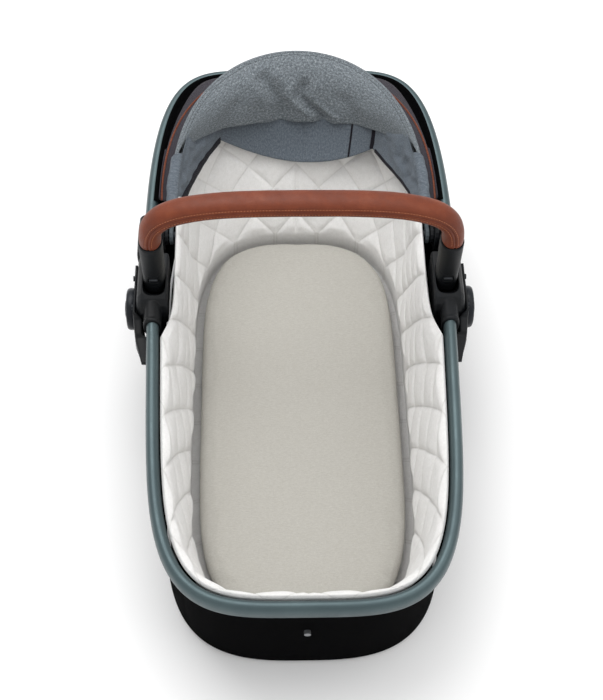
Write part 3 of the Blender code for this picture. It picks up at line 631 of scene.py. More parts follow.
def rim():
    section = oval(RIM_WIDTH, RIM_TALL, 2.25, 40)
    front = sweep("rim_front", rim_line(-FOOT_REACH, FRONT_TUBE_END, FOOT_HALF_WIDTH, 110), section, PAINT)
    settle(front, "cot", "rim_paint", "front_rim_tube")
    rear = sweep("rim_rear", rim_line(REAR_TUBE_START, HEAD_REACH, HEAD_HALF_WIDTH, 110), section, PAINT)
    settle(rear, "cot", "rim_paint", "rear_rim_tube")


# ---- liner, mattress and outer cover

QUILTS_ROUND = 26
QUILT_HEIGHT = 0.079
QUILT_NODE = 0.037
QUILT_PUFF = 0.0058
LINER_FRONT = -0.020
LINER_BACK = 0.232


def liner_top(y):
    return rim_z(y) + 0.010 - 0.005 * np.clip((y - 0.15) / 0.08, 0, 1)


def quilt_puff(a, b):
    """Puff from 0 at the sewn lines to 1 between them, from the two diagonal counts."""
    puff = 1.0
    for count in (a, b):
        near = np.abs(count - np.round(count))
        puff = puff * (0.55 * (1 - np.exp(-(near / 0.055) ** 1.4)) + 0.45 * np.sin(math.pi * near))
    return puff


def liner():
    count = 440
    limit, lip, crown_limit = [(wide, LINER_FRONT, LINER_BACK) for wide in (0.1785, 0.1825, 0.1805)]
    inner_low = ring(BED_LINE, -0.002, flat(MATTRESS_BOTTOM - 0.0003), count)
    inner_mid = ring(BED_LINE, -0.002, flat(MATTRESS_TOP), count)
    inner_top = ring(RIM_LINE, 0.0175, lambda y: liner_top(y) - 0.004, count, limit)
    outer_low = ring(BED_LINE, -0.008, flat(LINER_FLOOR), count)
    outer_mid = ring(BED_LINE, -0.008, flat(MATTRESS_TOP), count)
    outer_top = ring(RIM_LINE, 0.0110, lambda y: liner_top(y) - 0.004, count, lip)
    crown = ring(RIM_LINE, 0.0142, liner_top, count, crown_limit)
    walls = stack([inner_low, inner_mid, inner_top], [6, 84])
    total = walls.shape[1]
    length = np.linalg.norm(walls[-1] - walls[6], axis=1)
    level = np.concatenate([np.full(6, -1.0), np.linspace(0, 1, 85)])
    height = np.clip(level, 0, 1)[:, None] * length[None]
    # The pattern starts afresh from the head's middle on both sides, where a seam runs down the wall.
    share = np.abs(np.arange(total) / total - 0.5)[None].repeat(len(walls), axis=0)
    turns, climb = share * QUILTS_ROUND, (height - QUILT_NODE) / QUILT_HEIGHT
    puff = quilt_puff(turns + climb, turns - climb)
    edge = np.minimum(share, 0.5 - share) * 2.05
    seam = 1 - 0.9 * np.exp(-(edge / 0.0030) ** 2)
    fade = np.clip(level / 0.05, 0, 1) * np.clip((1.0 - level) / 0.05 + 0.35, 0, 1)
    ripple = wobble(walls, 14.0, 1) * 0.0022 + wobble(walls, 34.0, 2) * 0.0012
    rise = (puff * seam * QUILT_PUFF + ripple) * fade[:, None]
    normal = surface_normals(walls, True)
    centre = np.array([0, 0, 0.15])
    if np.mean(np.sum(normal[40] * (centre - walls[40]), axis=1)) < 0:
        normal = -normal
    walls = walls + normal * rise[:, :, None]
    roll = stack([walls[-1], crown, outer_top], [3, 3])[1:]
    outside = stack([outer_top, outer_mid, outer_low], [8, 2])[1:]
    rows = np.vstack([walls, roll, outside])
    beyond = np.cumsum(np.linalg.norm(np.diff(rows[len(walls) - 1:], axis=0), axis=2), axis=0)
    height = np.vstack([height, height[-1] + beyond])
    climb = (height - QUILT_NODE) / QUILT_HEIGHT
    turns = np.repeat(turns[:1], len(rows), axis=0)
    marks = np.stack([turns + climb, turns - climb, np.zeros_like(climb)], axis=2)
    obj = surface("tub_liner", rows, QUILT, loop=True, caps=True, marks=marks)
    settle(obj, "cot", "liner_fabric", "liner")


def mattress():
    top = MATTRESS_TOP - 0.0005
    low = MATTRESS_BOTTOM
    rings = [ring(BED_LINE, 0.010, flat(low + 0.003), 120), ring(BED_LINE, 0.005, flat(low + 0.010), 120),
             ring(BED_LINE, 0.005, flat(top - 0.014), 120), ring(BED_LINE, 0.008, flat(top - 0.007), 120),
             ring(BED_LINE, 0.015, flat(top - 0.004), 120)]
    obj = inflate(surface("bed_pad", stack(rings, [1, 3, 1, 1]), BED, loop=True, caps=True), 0.006, 4.0, 0.006)
    places = np.array([v.co for v in obj.data.vertices])
    places[:, 2] = np.clip(places[:, 2], low, top)
    obj.data.vertices.foreach_set("co", places.astype(np.float32).ravel())
    settle(obj, "cot", "mattress_fabric", "mattress")


def inflate(obj, voxel, pressure, cap):
    """Puff a closed pad up with the cloth simulation, no point moving further than cap."""
    step = obj.modifiers.new("even", "REMESH")
    step.mode = "VOXEL"
    step.voxel_size = voxel
    bake(obj)
    before = np.array([v.co for v in obj.data.vertices])
    cloth = obj.modifiers.new("cloth", "CLOTH")
    cloth.settings.use_pressure = True
    cloth.settings.uniform_pressure_force = pressure
    cloth.settings.effector_weights.gravity = 0
    cloth.point_cache.frame_end = 20
    for moment in range(1, 21):
        bpy.context.scene.frame_set(moment)
    bake(obj)
    bpy.context.scene.frame_set(1)
    after = np.array([v.co for v in obj.data.vertices])
    move = after - before
    far = np.linalg.norm(move, axis=1, keepdims=True)
    after = before + move * np.minimum(1, cap / np.maximum(far, 1e-9))
    obj.data.vertices.foreach_set("co", after.astype(np.float32).ravel())
    step = obj.modifiers.new("fine", "SUBSURF")
    step.levels = 1
    step.render_levels = 1
    bake(obj)
    obj.data.shade_smooth()
    return obj


def skirt_top(y):
    dip = 0.0065 * np.clip(np.minimum(y + 0.080, 0.220 - y) / 0.025, 0, 1)
    return rim_z(y) - RIM_TALL / 2 - 0.0015 - dip


def skirt():
    count = 300
    outer, inner = (0.2125, -0.045, 0.150), (0.2095, -0.045, 0.150)
    outside = stack([ring(BASE_LINE, 0.0, flat(SKIRT_LOW), count, outer),
                     ring(RIM_LINE, 0.002, skirt_top, count, outer)], [40])
    inside = stack([ring(RIM_LINE, 0.005, skirt_top, count, inner),
                    ring(BASE_LINE, 0.003, flat(SKIRT_LOW), count, inner)], [10])
    level = np.linspace(0, 1, 41)[:, None]
    normal = surface_normals(outside, True)
    if np.mean(np.sum(normal[20] * outside[20], axis=1)) > 0:
        normal = -normal
    # Normals now point inwards, so every wrinkle sinks into the wall's own thickness.
    sunk = 0.0012 * (0.5 + 0.5 * wobble(outside * (1, 1, 0.35), 26.0, 5))
    x, y = outside[:, :, 0], outside[:, :, 1]
    for seam_x in (-0.165, 0.165):
        for end in (-1, 1):
            beside = np.where(np.sign(y) == end, np.abs(x - seam_x), 1.0)
            sunk += 0.0013 * np.exp(-(beside / 0.0022) ** 2)
    for hem in (0.035, 0.955):
        sunk += 0.0010 * np.exp(-((level - hem) / 0.009) ** 2)
    outside = outside + normal * (sunk * np.clip(level * 30, 0, 1) * np.clip((1 - level) * 30, 0, 1))[:, :, None]
    obj = surface("body_cover", np.vstack([outside, inside]), BODY_CLOTH, loop=True, tube=True)
    settle(obj, "cot", "black_fabric", "outer_cover")


rim()
liner()
mattress()
skirt()


# ---- side joints

SLEEVE_TOP = 0.325
SLEEVE_HALF_WIDTH = 0.0160
SLEEVE_HALF_DEPTH = 0.0180
SADDLE_GAP = 0.0004
TILT_TO_FOOT = 42.0
TILT_TO_HEAD = 3.0
SOCKET_FRONT = -0.032
ADAPTOR_Y = 0.035
ADAPTOR_Z = 0.180


def arc(radius, start, end, steps):
    """Points (y, z) of an arc round the handle's pivot, by angles in degrees from +Y."""
    turn = np.radians(np.linspace(start, end, steps + 1))
    return np.column_stack([PIVOT_Y + radius * np.cos(turn), PIVOT_Z + radius * np.sin(turn)])


def draft(rows):
    return surface("draft", rows, PLASTIC, loop=True, caps=True)


def block(low, high):
    """A box as a draft."""
    corners = [(low[0], low[1]), (high[0], low[1]), (high[0], high[1]), (low[0], high[1])]
    return draft([[(x, y, z) for x, y in corners] for z in (low[2], high[2])])


def carve(name, base, added, removed, voxel, look, rounds=3):
    """Join and cut drafts, then soften every edge a little with an even remesh."""
    for operation, others in (("UNION", added), ("DIFFERENCE", removed)):
        for other in others:
            step = base.modifiers.new("join", "BOOLEAN")
            step.operation = operation
            step.solver = "EXACT"
            step.object = other
    step = base.modifiers.new("even", "REMESH")
    step.mode = "VOXEL"
    step.voxel_size = voxel
    step = base.modifiers.new("soft", "SMOOTH")
    step.factor = 0.5
    step.iterations = rounds
    bake(base)
    for other in added + removed:
        bpy.data.meshes.remove(other.data)
    base.name = name
    base.data.name = name
    base.data.materials.clear()
    base.data.materials.append(look)
    base.data.shade_smooth()
    return base


def reshape(obj, move):
    """Move a mesh's points by a function of their places."""
    places = np.array([v.co for v in obj.data.vertices])
    obj.data.vertices.foreach_set("co", move(places).astype(np.float32).ravel())
    obj.data.update()
    return obj


def both_sides(obj, body, slot, *nodes):
    """Settle a right-hand piece and its mirror image. A body or node that ends in _right has a _left twin."""
    mesh = obj.data.copy()
    mesh.transform(Matrix.Scale(-1, 4, (1, 0, 0)))
    mesh.flip_normals()
    twin = place_in_scene(obj.name.replace("_right", "_left"), mesh)
    settle(obj, body, slot, *nodes)
    settle(twin, body.replace("_right", "_left"), slot, *[node.replace("_right", "_left") for node in nodes])


def lathe(name, profile, look, sides=96):
    """A turned piece round the chassis adaptor's axis, from (x, radius) points."""
    turn = np.linspace(0, 2 * math.pi, sides, endpoint=False)
    rows = [np.column_stack([np.full(sides, x), ADAPTOR_Y + r * np.cos(turn), ADAPTOR_Z + r * np.sin(turn)])
            for x, r in profile]
    return surface(name, rows, look, loop=True, caps=True)


def housing():
    """The joint's housing: a flared body over the handle's knuckle, with a round socket for the front tube."""
    stations = [(0.1903, 0.0030, 0.2470), (0.1910, 0.0012, 0.2488), (0.1930, 0, 0.2500), (0.2225, 0, 0.2500),
                (0.2280, 0, 0.2478), (0.2325, 0.0006, 0.2430), (0.2350, 0.0018, 0.2385), (0.2359, 0.0036, 0.2350)]
    rows = []
    for x, inward, top in stations:
        low, back = 0.2033 + inward, 0.0846 - inward
        rows.append([(x, y, z) for y, z in (
            (back, low), (back, top - 0.0015 - inward), (back - 0.0015, top - inward), (0.020, top - inward),
            (0.011, top - 0.0008 - inward), (0.003, top - 0.0048 - inward), (-0.004, top - 0.0125 - inward),
            (-0.0075 + inward, top - 0.0235), (-0.0075 + inward, low))])
    body = draft(rows)
    section = oval(0.0256, 0.0384, 2.6, 48)
    socket = draft([[(0.2118 + size * a, y, rim_z(y) + size * b) for a, b in section] for y, size in (
        (SOCKET_FRONT, 0.90), (-0.0312, 0.975), (-0.0298, 1.0), (-0.0268, 1.0), (-0.0260, 0.955), (-0.0245, 0.955),
        (-0.005, 0.985), (0.020, 1.0))])
    fan = []
    for share in np.linspace(-0.995, 0.995, 25):
        radius = (SLEEVE_HALF_DEPTH + SADDLE_GAP) * (1 - abs(share) ** 3) ** (1 / 3)
        line = arc(radius, TILT_TO_FOOT - 180, -TILT_TO_HEAD, 20)
        for turn, end in ((-TILT_TO_HEAD, -1), (TILT_TO_FOOT, 0)):
            ahead = np.array([-math.sin(math.radians(turn)), math.cos(math.radians(turn))])
            line = np.vstack([line, line[end if end else 0] + 0.09 * ahead])
        fan.append([(HANDLE_X + share * (SLEEVE_HALF_WIDTH + SADDLE_GAP), y, z) for y, z in line])
    piece = carve("joint_housing_right", body, [socket], [draft(fan)], 0.0008, PLASTIC)
    both_sides(piece, "cot", "black_plastic", "joint_inner_shell_right", "joint_outer_shell_right")


def sleeve():
    """The handle's end: an oval sleeve flared round the leather, with a collar and a window for the catch."""
    slices = []
    for share in np.linspace(-0.99, 0.99, 27):
        low = SLEEVE_HALF_DEPTH * (1 - abs(share) ** 3) ** (1 / 3)
        high = 0.0200 * (1 - abs(share) ** 2.3) ** (1 / 2.3)
        knuckle = arc(low, 180, 360, 20)
        line = [(y, z, 0.0) for y, z in knuckle]
        rises = [0.262, 0.272, 0.284, 0.298, 0.312, 0.3225, 0.3249]
        for z, side in [(z, 1) for z in rises] + [(z, -1) for z in rises[::-1]]:
            flare = smoothstep(min(1.0, (z - 0.262) / 0.055))
            depth = low + flare * (high - low) - (0.0009 if z == rises[-1] else 0)
            line.append((PIVOT_Y + side * depth, z, flare))
        slices.append([(HANDLE_X + share * (SLEEVE_HALF_WIDTH + 0.0009 * flare), y, z) for y, z, flare in line])
    window = block((HANDLE_X - 0.0074, 0.0200, 0.2528), (HANDLE_X + 0.0074, 0.0290, 0.2614))
    piece = carve("handle_sleeve_right", draft(slices), [], [window], 0.0007, PLASTIC, 2)

    def collar(places):
        across = np.abs(places[:, 0] - HANDLE_X) / SLEEVE_HALF_WIDTH
        front = np.clip((PIVOT_Y - places[:, 1]) / 0.004, 0, 1)
        sunk = np.zeros(len(places))
        for level, depth, width in ((0.2655, 0.0008, 0.0008), (0.2450, 0.0007, 0.0008)):
            off = places[:, 2] - (level + 0.0105 * across ** 2.2)
            sunk += depth * np.exp(-(off / width) ** 2)
        sunk += 0.0004 * np.clip((0.2655 + 0.0105 * across ** 2.2 - places[:, 2]) / 0.001, 0, 1)
        inward = np.column_stack([HANDLE_X - places[:, 0], PIVOT_Y - places[:, 1]])
        inward /= np.maximum(np.linalg.norm(inward, axis=1), 1e-6)[:, None]
        places[:, :2] += inward * (sunk * front)[:, None]
        return places

    both_sides(reshape(piece, collar), "handle", "black_plastic", "handle_end_right")


def rear_socket():
    """The rear tube's socket: a round-shouldered cap that the tube comes out of."""
    section = oval(0.0322, 0.0420, 3.0, 56)
    rows = []
    for y, size in ((0.0855, 0.90), (0.0862, 0.96), (0.0880, 0.99), (0.0910, 1.0), (0.1180, 1.0), (0.1300, 0.99),
                    (0.1400, 0.96), (0.1455, 0.91), (0.1475, 0.88), (0.1480, 0.91), (0.1500, 0.91), (0.1512, 0.87),
                    (0.1516, 0.80)):
        lift = 0.0022 - 0.0013 * (y - 0.0855) / 0.066
        rows.append([(0.2217 + size * a, y, rim_z(y) + lift + size * b) for a, b in section])
    piece = surface("tube_socket_right", rows, PLASTIC, loop=True, caps=True)
    both_sides(piece, "cot", "black_plastic", "rear_tube_socket_right")


def adaptor():
    """The chassis adaptor's bracket, which tapers under the rim, its turned disc and its dished button."""
    rows = []
    shape = oval(2, 2, 6.0, 28)
    for y in np.linspace(-0.078, 0.078, 79):
        high = np.interp(y, [-0.078, -0.036, -0.033, -0.012, -0.008, 0.078],
                         [0.2030, 0.2064, 0.2100, 0.2180, 0.2285, 0.2285])
        low = np.interp(y, [-0.078, -0.060, -0.034, -0.012, 0.006, 0.016, 0.042, 0.052, 0.078],
                        [0.1985, 0.1890, 0.1750, 0.1580, 0.1400, 0.1355, 0.1355, 0.1430, 0.2000])
        inner = np.interp(y, [-0.078, -0.037, -0.033, -0.011, -0.0075], [0.2150, 0.2135, 0.2262, 0.2262, 0.2366])
        outer = np.interp(y, [-0.078, -0.060, -0.040, -0.014, 0.0], [0.2265, 0.2310, 0.2370, 0.2405, 0.2409])
        rows.append([((outer + inner) / 2 + (outer - inner) / 2 * a, y, (high + low) / 2 + (high - low) / 2 * b)
                     for a, b in shape])
    piece = surface("adaptor_plate_right", rows, PLASTIC, loop=True, caps=True)
    both_sides(piece, "cot", "black_plastic", "adaptor_bracket_right")
    disc = [(0.2414, 0.0284), (0.2418, 0.0300), (0.2432, 0.0308), (0.2480, 0.0310), (0.2508, 0.0306),
            (0.2526, 0.0296), (0.2536, 0.0280), (0.2540, 0.0255), (0.2540, 0.0226), (0.2534, 0.0220),
            (0.2530, 0.0214), (0.2534, 0.0208), (0.2540, 0.0202), (0.2540, 0.0164), (0.2537, 0.0152),
            (0.2528, 0.0146), (0.2440, 0.0144), (0.2437, 0.0138), (0.2437, 0.0080)]
    both_sides(lathe("adaptor_disc_right", disc, SATIN), "cot", "black_plastic", "chassis_adaptor_right")
    button = [(0.2494, 0.0100), (0.2496, 0.0134), (0.2502, 0.0139), (0.2548, 0.0139), (0.2560, 0.0134),
              (0.2565, 0.0122), (0.2565, 0.0108), (0.2559, 0.0092), (0.2554, 0.0066), (0.2552, 0.0030),
              (0.2552, 0.0010)]
    both_sides(lathe("adaptor_cap_right", button, SATIN), "adaptor_button_right", "black_plastic",
               "adaptor_button_right")


housing()
sleeve()
rear_socket()
adaptor()


# ---- carry handle

HANDLE_BEND_BASE = 0.320
HANDLE_TOP = 0.401
SEAM_TURN = math.radians(-7)
STITCH_ROW = 0.0052
GRIP_RADIUS = 0.0175
GRIP_POWER = 2.15


def handle_line(base, count):
    """The handle's centre line: straight legs under a rounded, crowned top."""
    turn = np.linspace(0, math.pi / 2, 300)
    x = HANDLE_X * np.cos(turn) ** (2 / 3.2)
    z = HANDLE_BEND_BASE + (HANDLE_TOP - HANDLE_BEND_BASE) * np.sin(turn) ** (2 / 3.2)
    curve = np.column_stack([x, z])
    half = even(np.vstack([(HANDLE_X, base), curve[z > base + 0.002]]), count)
    half[-1, 0] = 0
    right = np.column_stack([half[:, 0], np.full(len(half), PIVOT_Y), half[:, 1]])
    return mirrored(right)


def handle():
    sides = 96
    line = handle_line(SLEEVE_TOP + 0.0003, 130)
    points, side, up = sweep_frames(line, (0, 1, 0))
    turn = np.linspace(0, 2 * math.pi, sides, endpoint=False)
    # Angles run from the side that faces the foot end, towards the grip's outer side.
    across = np.column_stack([np.sin(turn), -np.cos(turn)])
    size = (np.abs(across) ** GRIP_POWER).sum(axis=1) ** (-1 / GRIP_POWER)
    section = across * size[:, None] * (0.0155, 0.019)
    away = np.abs((turn - SEAM_TURN + math.pi) % (2 * math.pi) - math.pi) * GRIP_RADIUS
    groove = 0.0018 * np.exp(-(away / 0.0011) ** 2)
    pull = 0.0005 * np.exp(-((away - STITCH_ROW) / 0.0010) ** 2)
    travel = distances(line[:, None], 0)
    ends = np.minimum(travel, travel[-1] - travel)
    lip = 0.0011 * np.exp(-(ends / 0.0016) ** 2)
    soft = wobble(points[:, None] + np.column_stack([0.02 * across, np.zeros(sides)]), 30.0, 8) * 0.0003
    shrink = (groove + pull)[None] + lip[:, None] + soft
    reach = np.linalg.norm(section, axis=1)
    local = section[None] * (1 - shrink / reach[None])[:, :, None]
    rows = points[:, None] + local[:, :, :1] * side[:, None] + local[:, :, 1:] * up[:, None]
    skin = surface("grip_leather", rows, LEATHER, loop=True, caps=True)
    settle(skin, "handle", "leather_tan", "handle_leather_wrap", "handle_core_tube")
    for label, offset in (("lower", -STITCH_ROW), ("upper", STITCH_ROW)):
        angle = SEAM_TURN + offset / GRIP_RADIUS
        k = int(round(angle / (2 * math.pi) * sides)) % sides
        path = rows[3:-3, k]
        normal = unit(path - points[3:-3])
        row = stitches(f"grip_stitches_{label}", path, normal, 0.0042, 0.0026, 0.00045, THREAD, 0.1)
        settle(row, "handle", "leather_tan")


# ---- hood

BOW_COVER = 0.0045
BORDER = 0.0125
VISOR_FOOT = 0.132
LINING_FOOT = 0.040
CLOTH_THICKNESS = 0.0011
PANEL_START = 0.060
TUCK_ANGLE = math.radians(12.2)


def bow_frame(bow, angle, start, count, proud=0.0):
    """Points along a bow from the right side over the top, with its outward and upward directions."""
    turn = np.linspace(0, math.pi / 2, 400)
    reach = bow["reach"] * np.sin(turn) ** (2 / bow["power"])
    reach = np.concatenate([[start], reach[reach > start]])
    wide = bow["half"] * np.sqrt(np.maximum(0, 1 - (reach / bow["reach"]) ** bow["power"]))
    share = smoothstep(np.clip((reach - 0.03) / 0.09, 0, 1))
    half = even(np.column_stack([bow["start"] + (wide - bow["start"]) * share, reach]), count)
    half[-1] = (0, bow["reach"])
    run = unit(np.gradient(half, axis=0))
    out = np.column_stack([run[:, 1], -run[:, 0]])
    out[-1] = (0, 1)
    half = half + proud * out
    half[-1, 0] = 0
    c, s = math.cos(angle), math.sin(angle)
    points = np.column_stack([half[:, 0], HOOD_Y + half[:, 1] * c, HOOD_Z + half[:, 1] * s])
    outward = np.column_stack([out[:, 0], out[:, 1] * c, out[:, 1] * s])
    return mirrored(points), mirrored(outward), np.array([0, -s, c])


def bezier(marks, count):
    """Rows of a cubic Bezier surface between four lines."""
    a, b, c, d = marks
    return np.array([(1 - t) ** 3 * a + 3 * (1 - t) ** 2 * t * b + 3 * (1 - t) * t * t * c + t ** 3 * d
                     for t in np.linspace(0, 1, count + 1)])


def tuck(x, level, path, depth, width):
    """A fold running up a sheet along a path of (level, x) points."""
    where = np.interp(level, [p[0] for p in path], [p[1] for p in path])
    fade = np.interp(level, [path[0][0] - 0.12, path[0][0], path[-1][0], path[-1][0] + 0.12], [0, 1, 1, 0.6])
    off = (x - where[:, None]) / width
    return depth * fade[:, None] * (np.exp(-off ** 2) - 0.45 * np.exp(-((np.abs(off) - 2.1) / 0.9) ** 2))


VISOR_HALF_WIDTH = 0.1875
VISOR_START = 0.256
VISOR_REACH = 0.374
VISOR_DROP = 0.068
EDGE_ROLL = 0.0042
# Each fold of the visor: its path of (level, x) points, its depth and its width.
VISOR_TUCKS = [([(0.34, -0.052), (0.52, -0.040), (0.72, -0.026), (0.92, -0.024)], 0.0075, 0.0110),
               ([(0.50, 0.012), (0.64, 0.006), (0.76, 0.018), (0.92, 0.042)], 0.0080, 0.0090),
               ([(0.62, 0.075), (0.85, 0.088), (1.0, 0.096)], 0.0028, 0.014),
               ([(0.60, -0.100), (0.85, -0.108), (1.0, -0.112)], 0.0030, 0.014)]


def visor_edge(count):
    """The visor's hanging lower edge: an arch in plan, lowest at its middle."""
    turn = np.linspace(0, math.pi / 2, 400)
    y = VISOR_START + (VISOR_REACH - VISOR_START) * np.sin(turn) ** (2 / 1.2)
    half = even(np.column_stack([VISOR_HALF_WIDTH * np.cos(turn) ** (2 / 2.2), y]), count)
    half[-1, 0] = 0
    sag = VISOR_DROP * (1 - (half[:, 0] / VISOR_HALF_WIDTH) ** 2)
    right = np.column_stack([half, HOOD_Z + math.tan(FRONT_ANGLE) * (half[:, 1] - HOOD_Y) - sag])
    return mirrored(right)


def visor():
    half = 110
    line, out, up = bow_frame(FRONT_BOW, FRONT_ANGLE, VISOR_FOOT, half)
    edge = visor_edge(half)
    turns = np.radians(np.linspace(-70, 90, 12))
    sleeve = np.array([line + BOW_COVER * (math.cos(t) * out + math.sin(t) * up) for t in turns])
    start = sleeve[-1]
    narrow = np.clip(np.linalg.norm(start - edge, axis=1) / 0.09, 0.05, 1)[:, None]
    near = start - 0.034 * narrow * out + 0.004 * narrow * up
    far = edge + narrow * np.array([0, 0.010, 0.036])
    body = bezier((start, near, far, edge), 54)[1:]
    level = np.linspace(0, 1, 55)[1:]
    x = body[:, :, 0]
    normal = surface_normals(body, False)
    if normal[20, half, 2] < 0:
        normal = -normal
    open_cloth = np.clip((narrow[:, 0] - 0.3) / 0.4, 0, 1)
    sink = sum(tuck(x, level, *fold) for fold in VISOR_TUCKS)
    swell = 0.0040 * np.sin(math.pi * level)[:, None] * open_cloth
    ripple = 0.0018 * wobble(body * (1, 1.6, 1.6), 22.0, 11) * np.clip(level * 2.5 - 0.4, 0, 1)[:, None]
    travel = BOW_COVER * 1.4 + np.cumsum(np.linalg.norm(np.diff(np.vstack([start[None], body]), axis=0), axis=2), 0)
    border = 0.0011 * np.exp(-((travel - BORDER) / 0.0011) ** 2) - 0.0006 * (travel < BORDER)
    body = body + normal * ((swell + ripple - sink) * open_cloth - border * (narrow[:, 0] > 0.1))[:, :, None]
    edge = body[-1]
    curl = np.radians(np.linspace(20, 180, 9))
    radius = EDGE_ROLL * narrow
    back = np.array([0, 1, 0])
    roll = np.array([edge + radius * ((1 - math.cos(t)) * back - math.sin(t) * np.array([0, 0, 1])) for t in curl])
    inner = np.array([roll[-1] + k / 5 * narrow * np.array([0, 0.006, 0.018]) for k in range(1, 6)])
    rows = np.vstack([sleeve, body, roll, inner])
    obj = thicken(surface("hood_visor_cloth", rows, MELANGE), CLOTH_THICKNESS)
    settle(obj, "hood_front", "hood_fabric", "hood_visor")
    facing = surface_normals(rows, False)
    facing = facing if facing[20, half, 2] > 0 else -facing
    for label, distance in (("inner", BORDER), ("outer", 0.0080)):
        at = [np.argmin(np.abs(travel[:, k] - distance)) for k in range(2 * half + 1)]
        across = range(14, 2 * half - 13)
        path = np.array([body[at[k], k] for k in across])
        aim = np.array([facing[len(sleeve) + at[k], k] for k in across])
        path = even(path + 0.0006 * aim, len(across) - 1)
        thread = stitches(f"visor_stitches_{label}", path, aim, 0.0042, 0.0030, 0.00035, GREY_THREAD)
        settle(thread, "hood_front", "hood_fabric")


HEM_START = (0.179, 0.150, 0.243)
HEM_CORNER = (0.122, 0.330, 0.216)
HEM_DIP = 0.041
HEM_SKEW = 0.010


def hem_line(count):
    """The lining's hem: each side curves in to a corner, and the middle sags between the corners."""
    t = np.linspace(0, 1, 60)
    start, corner = np.array(HEM_START), np.array(HEM_CORNER)
    ease = np.column_stack([t ** 1.8, t, 1 - (1 - t) ** 1.5])
    side = start + ease * (corner - start)
    x = np.linspace(corner[0], 0, 60)[1:]
    middle = np.column_stack([x, np.full(59, corner[1] + 0.004), corner[2] - HEM_DIP * (1 - (x / corner[0]) ** 2)])
    right = np.vstack([side, middle])
    line = mirrored(right)
    # It hangs a little nearer the foot end on the right than on the left.
    skew = HEM_SKEW * np.sin(np.clip(line[:, 0] / corner[0], -1, 1) * math.pi / 2)
    line[:, 1] -= skew * np.clip((line[:, 1] - 0.22) / 0.08, 0, 1)
    return even(line, count)


def lining():
    half = 130
    line, out, up = bow_frame(FRONT_BOW, FRONT_ANGLE, LINING_FOOT, half)
    hem = hem_line(2 * half)
    # Below the visor's ends the lining wraps the bow, and beyond them it starts inside it.
    along = np.linalg.norm(line - line[0], axis=1)
    along = np.minimum(along, along[::-1])
    wrapped = np.clip((0.100 - along) / 0.016, 0, 1)[:, None]
    collar = []
    for share in np.linspace(0, 1, 14):
        turn = np.radians(195 - (1 - share) * (25 + 250 * wrapped))
        reach = 0.0072 + 0.0012 * wrapped
        collar.append(line + reach * (np.cos(turn) * out + np.sin(turn) * up))
    top = collar[-1]
    middle = np.clip(1 - np.abs(hem[:, 0]) / 0.150, 0, 1)[:, None]
    near = top + (hem - top) * 0.30 + middle * np.array([0, 0.006, -0.012])
    far = top + (hem - top) * 0.70 + middle * np.array([0, 0.012, -0.014])
    body = bezier((top, near, far, hem), 46)
    rows = np.vstack([np.array(collar[:-1]), body])
    level = np.concatenate([np.zeros(13), np.linspace(0, 1, 47)])[:, None]
    normal = surface_normals(rows, False)
    if normal[33, half, 1] > 0:
        normal = -normal
    x = rows[:, :, 0]
    side = np.clip((np.abs(x) - 0.105) / 0.03, 0, 1)
    crumple = 0.0068 * wobble(rows * (1, 1.3, 1), 42.0, 21) + 0.0034 * wobble(rows, 95.0, 22)
    crumple *= side * np.sin(math.pi * np.clip(level, 0.02, 0.98)) + 0.14 * wrapped[:, 0] * (level < 0.01)
    soft = 0.0018 * wobble(rows * (1, 0.5, 0.5), 30.0, 23) * (1 - side) * np.clip(level * 8, 0, 1)
    seam = 0.0018 * np.exp(-((x - 0.012) / 0.0016) ** 2) * np.clip(level * 8, 0, 1)
    rows = rows + normal * (crumple + soft - seam)[:, :, None]
    obj = thicken(surface("hood_lining_cloth", rows, LINING), 0.0010)
    settle(obj, "hood_front", "lining_fabric", "hood_lining")
    corners = {"right": int(np.argmin(np.abs(hem[:, 0] - HEM_CORNER[0]))),
               "left": int(np.argmin(np.abs(hem[:, 0] + HEM_CORNER[0])))}
    spans = {"right": slice(4, corners["right"]), "left": slice(corners["left"], 2 * half - 3)}
    turn = np.linspace(0, 2 * math.pi, 20, endpoint=False)
    for side_name, width in (("right", 0.0030), ("left", 0.0056)):
        columns = spans[side_name]
        path = rows[-1, columns]
        across = unit(rows[-1, columns] - rows[-8, columns])
        facing = unit(np.cross(np.gradient(path, axis=0), across))
        band = (path[:, None] - 0.3 * width * across[:, None]
                + width * np.cos(turn)[None, :, None] * across[:, None]
                + 0.0016 * np.sin(turn)[None, :, None] * facing[:, None])
        trim = surface(f"lining_binding_{side_name}", band, BINDING, loop=True, caps=True)
        settle(trim, "hood_front", "lining_fabric")

    def strip(name, first, column, lift, section):
        path = rows[first:, column] + lift * normal[first:, column]
        settle(sweep(name, path, section, BINDING, (0, 1, 0)), "hood_front", "lining_fabric")

    column = int(np.argmin(np.abs(hem[:, 0] - 0.083)))
    strip("lining_seam_binding", 26, column, 0.0010, oval(0.0030, 0.0022, 2, 12))
    strip("lining_tab", 38, corners["right"] + 2, 0.0016, oval(0.0085, 0.0022, 3, 16))


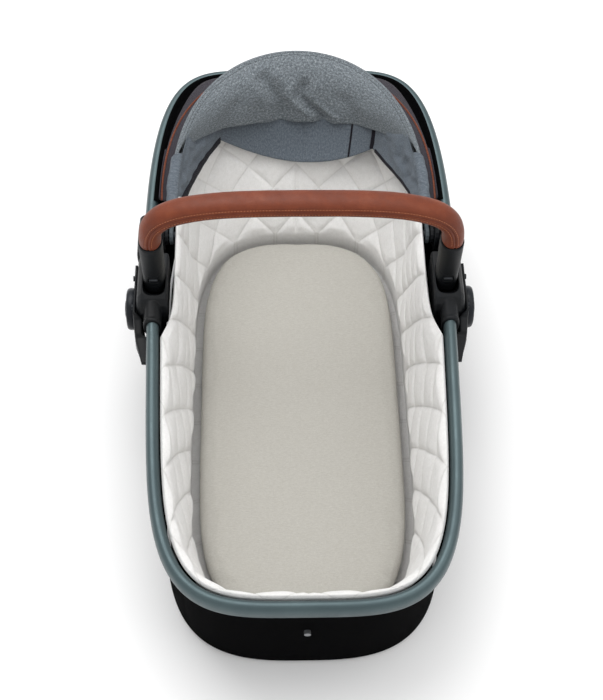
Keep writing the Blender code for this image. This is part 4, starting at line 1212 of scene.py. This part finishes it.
def panels():
    half = 90
    mid, mid_out, mid_up = bow_frame(MIDDLE_BOW, MIDDLE_ANGLE, PANEL_START, half, 0.0045)
    front, _, front_up = bow_frame(FRONT_BOW, FRONT_ANGLE, PANEL_START, half, -0.0040)
    front = front - 0.0085 * front_up
    share = np.linspace(0, 1, 15)
    rows = np.array([mid + (front - mid) * s + 0.0020 * math.sin(math.pi * s) * mid_out for s in share])
    rows += surface_normals(rows, False) * (0.0004 * wobble(rows, 40.0, 31))[:, :, None]
    blended_sheet("hood_front_cloth", rows, MELANGE, share, "hood_fabric", "hood_front_panel",
                  ("hood_middle", "hood_front"))
    pipe_line = bow_frame(MIDDLE_BOW, MIDDLE_ANGLE, PANEL_START, half, 0.0085)[0] + 0.0030 * mid_up
    pipe = sweep("hood_piping", pipe_line + 0.0014 * mid_up, oval(0.0030, 0.0030, 2, 12), PIPING)
    settle(pipe, "hood_middle", "hood_fabric")
    near_rim, off_rim = rim_inner(0.0106, 0.0150, 0.186, half), rim_inner(0.0180, 0.0145, 0.186, half)
    corner = np.exp(-((np.abs(near_rim[:, :1]) - 0.180) / 0.028) ** 2) * (near_rim[:, 1:2] > 0.28)
    edge = near_rim + corner * (off_rim - near_rim)
    under = bow_frame(FRONT_BOW, TUCK_ANGLE, PANEL_START, half, 0.0005)[0]
    bulge = 2 * pipe_line - (edge + under) / 2
    rows = np.array([(1 - s) ** 2 * edge + 2 * s * (1 - s) * bulge + s * s * under for s in share])
    blended_sheet("hood_rear_cloth", rows, CHARCOAL, np.clip(2 * share, 0, 1), "rear_fabric", "hood_rear_panel",
                  ("cot", "hood_middle"))


def rim_inner(inward, lift, start, count):
    """A line along the inside of the rear tube, from the right side round the head end."""
    half = inset(RIM_LINE, inward)
    half = even(np.array([p for p in half if p[1] >= start]), count)
    half[-1, 0] = 0
    right = np.column_stack([half, rim_z(half[:, 1]) + lift])
    return mirrored(right)


def rim_trim():
    """Black cloth over the inner side of the rear tube, wider round the head end's corners."""
    rows = []
    for narrow, wide in (((0.0030, 0.0150), (0.0030, 0.0150)), ((0.0060, 0.0142), (0.0060, 0.0142)),
                         ((0.0085, 0.0120), (0.0085, 0.0120)), ((0.0096, 0.0090), (0.0112, 0.0096)),
                         ((0.0098, 0.0050), (0.0160, 0.0088)), ((0.0098, 0.0010), (0.0230, 0.0086))):
        a, b = rim_inner(*narrow, 0.180, 90), rim_inner(*wide, 0.180, 90)
        rows.append(a + smoothstep(np.clip((a[:, 1:2] - 0.27) / 0.05, 0, 1)) * (b - a))
    obj = thicken(surface("rear_rim_trim", np.array(rows), BODY_CLOTH), 0.0008)
    settle(obj, "cot", "black_fabric")


handle()
visor()
lining()
panels()
rim_trim()
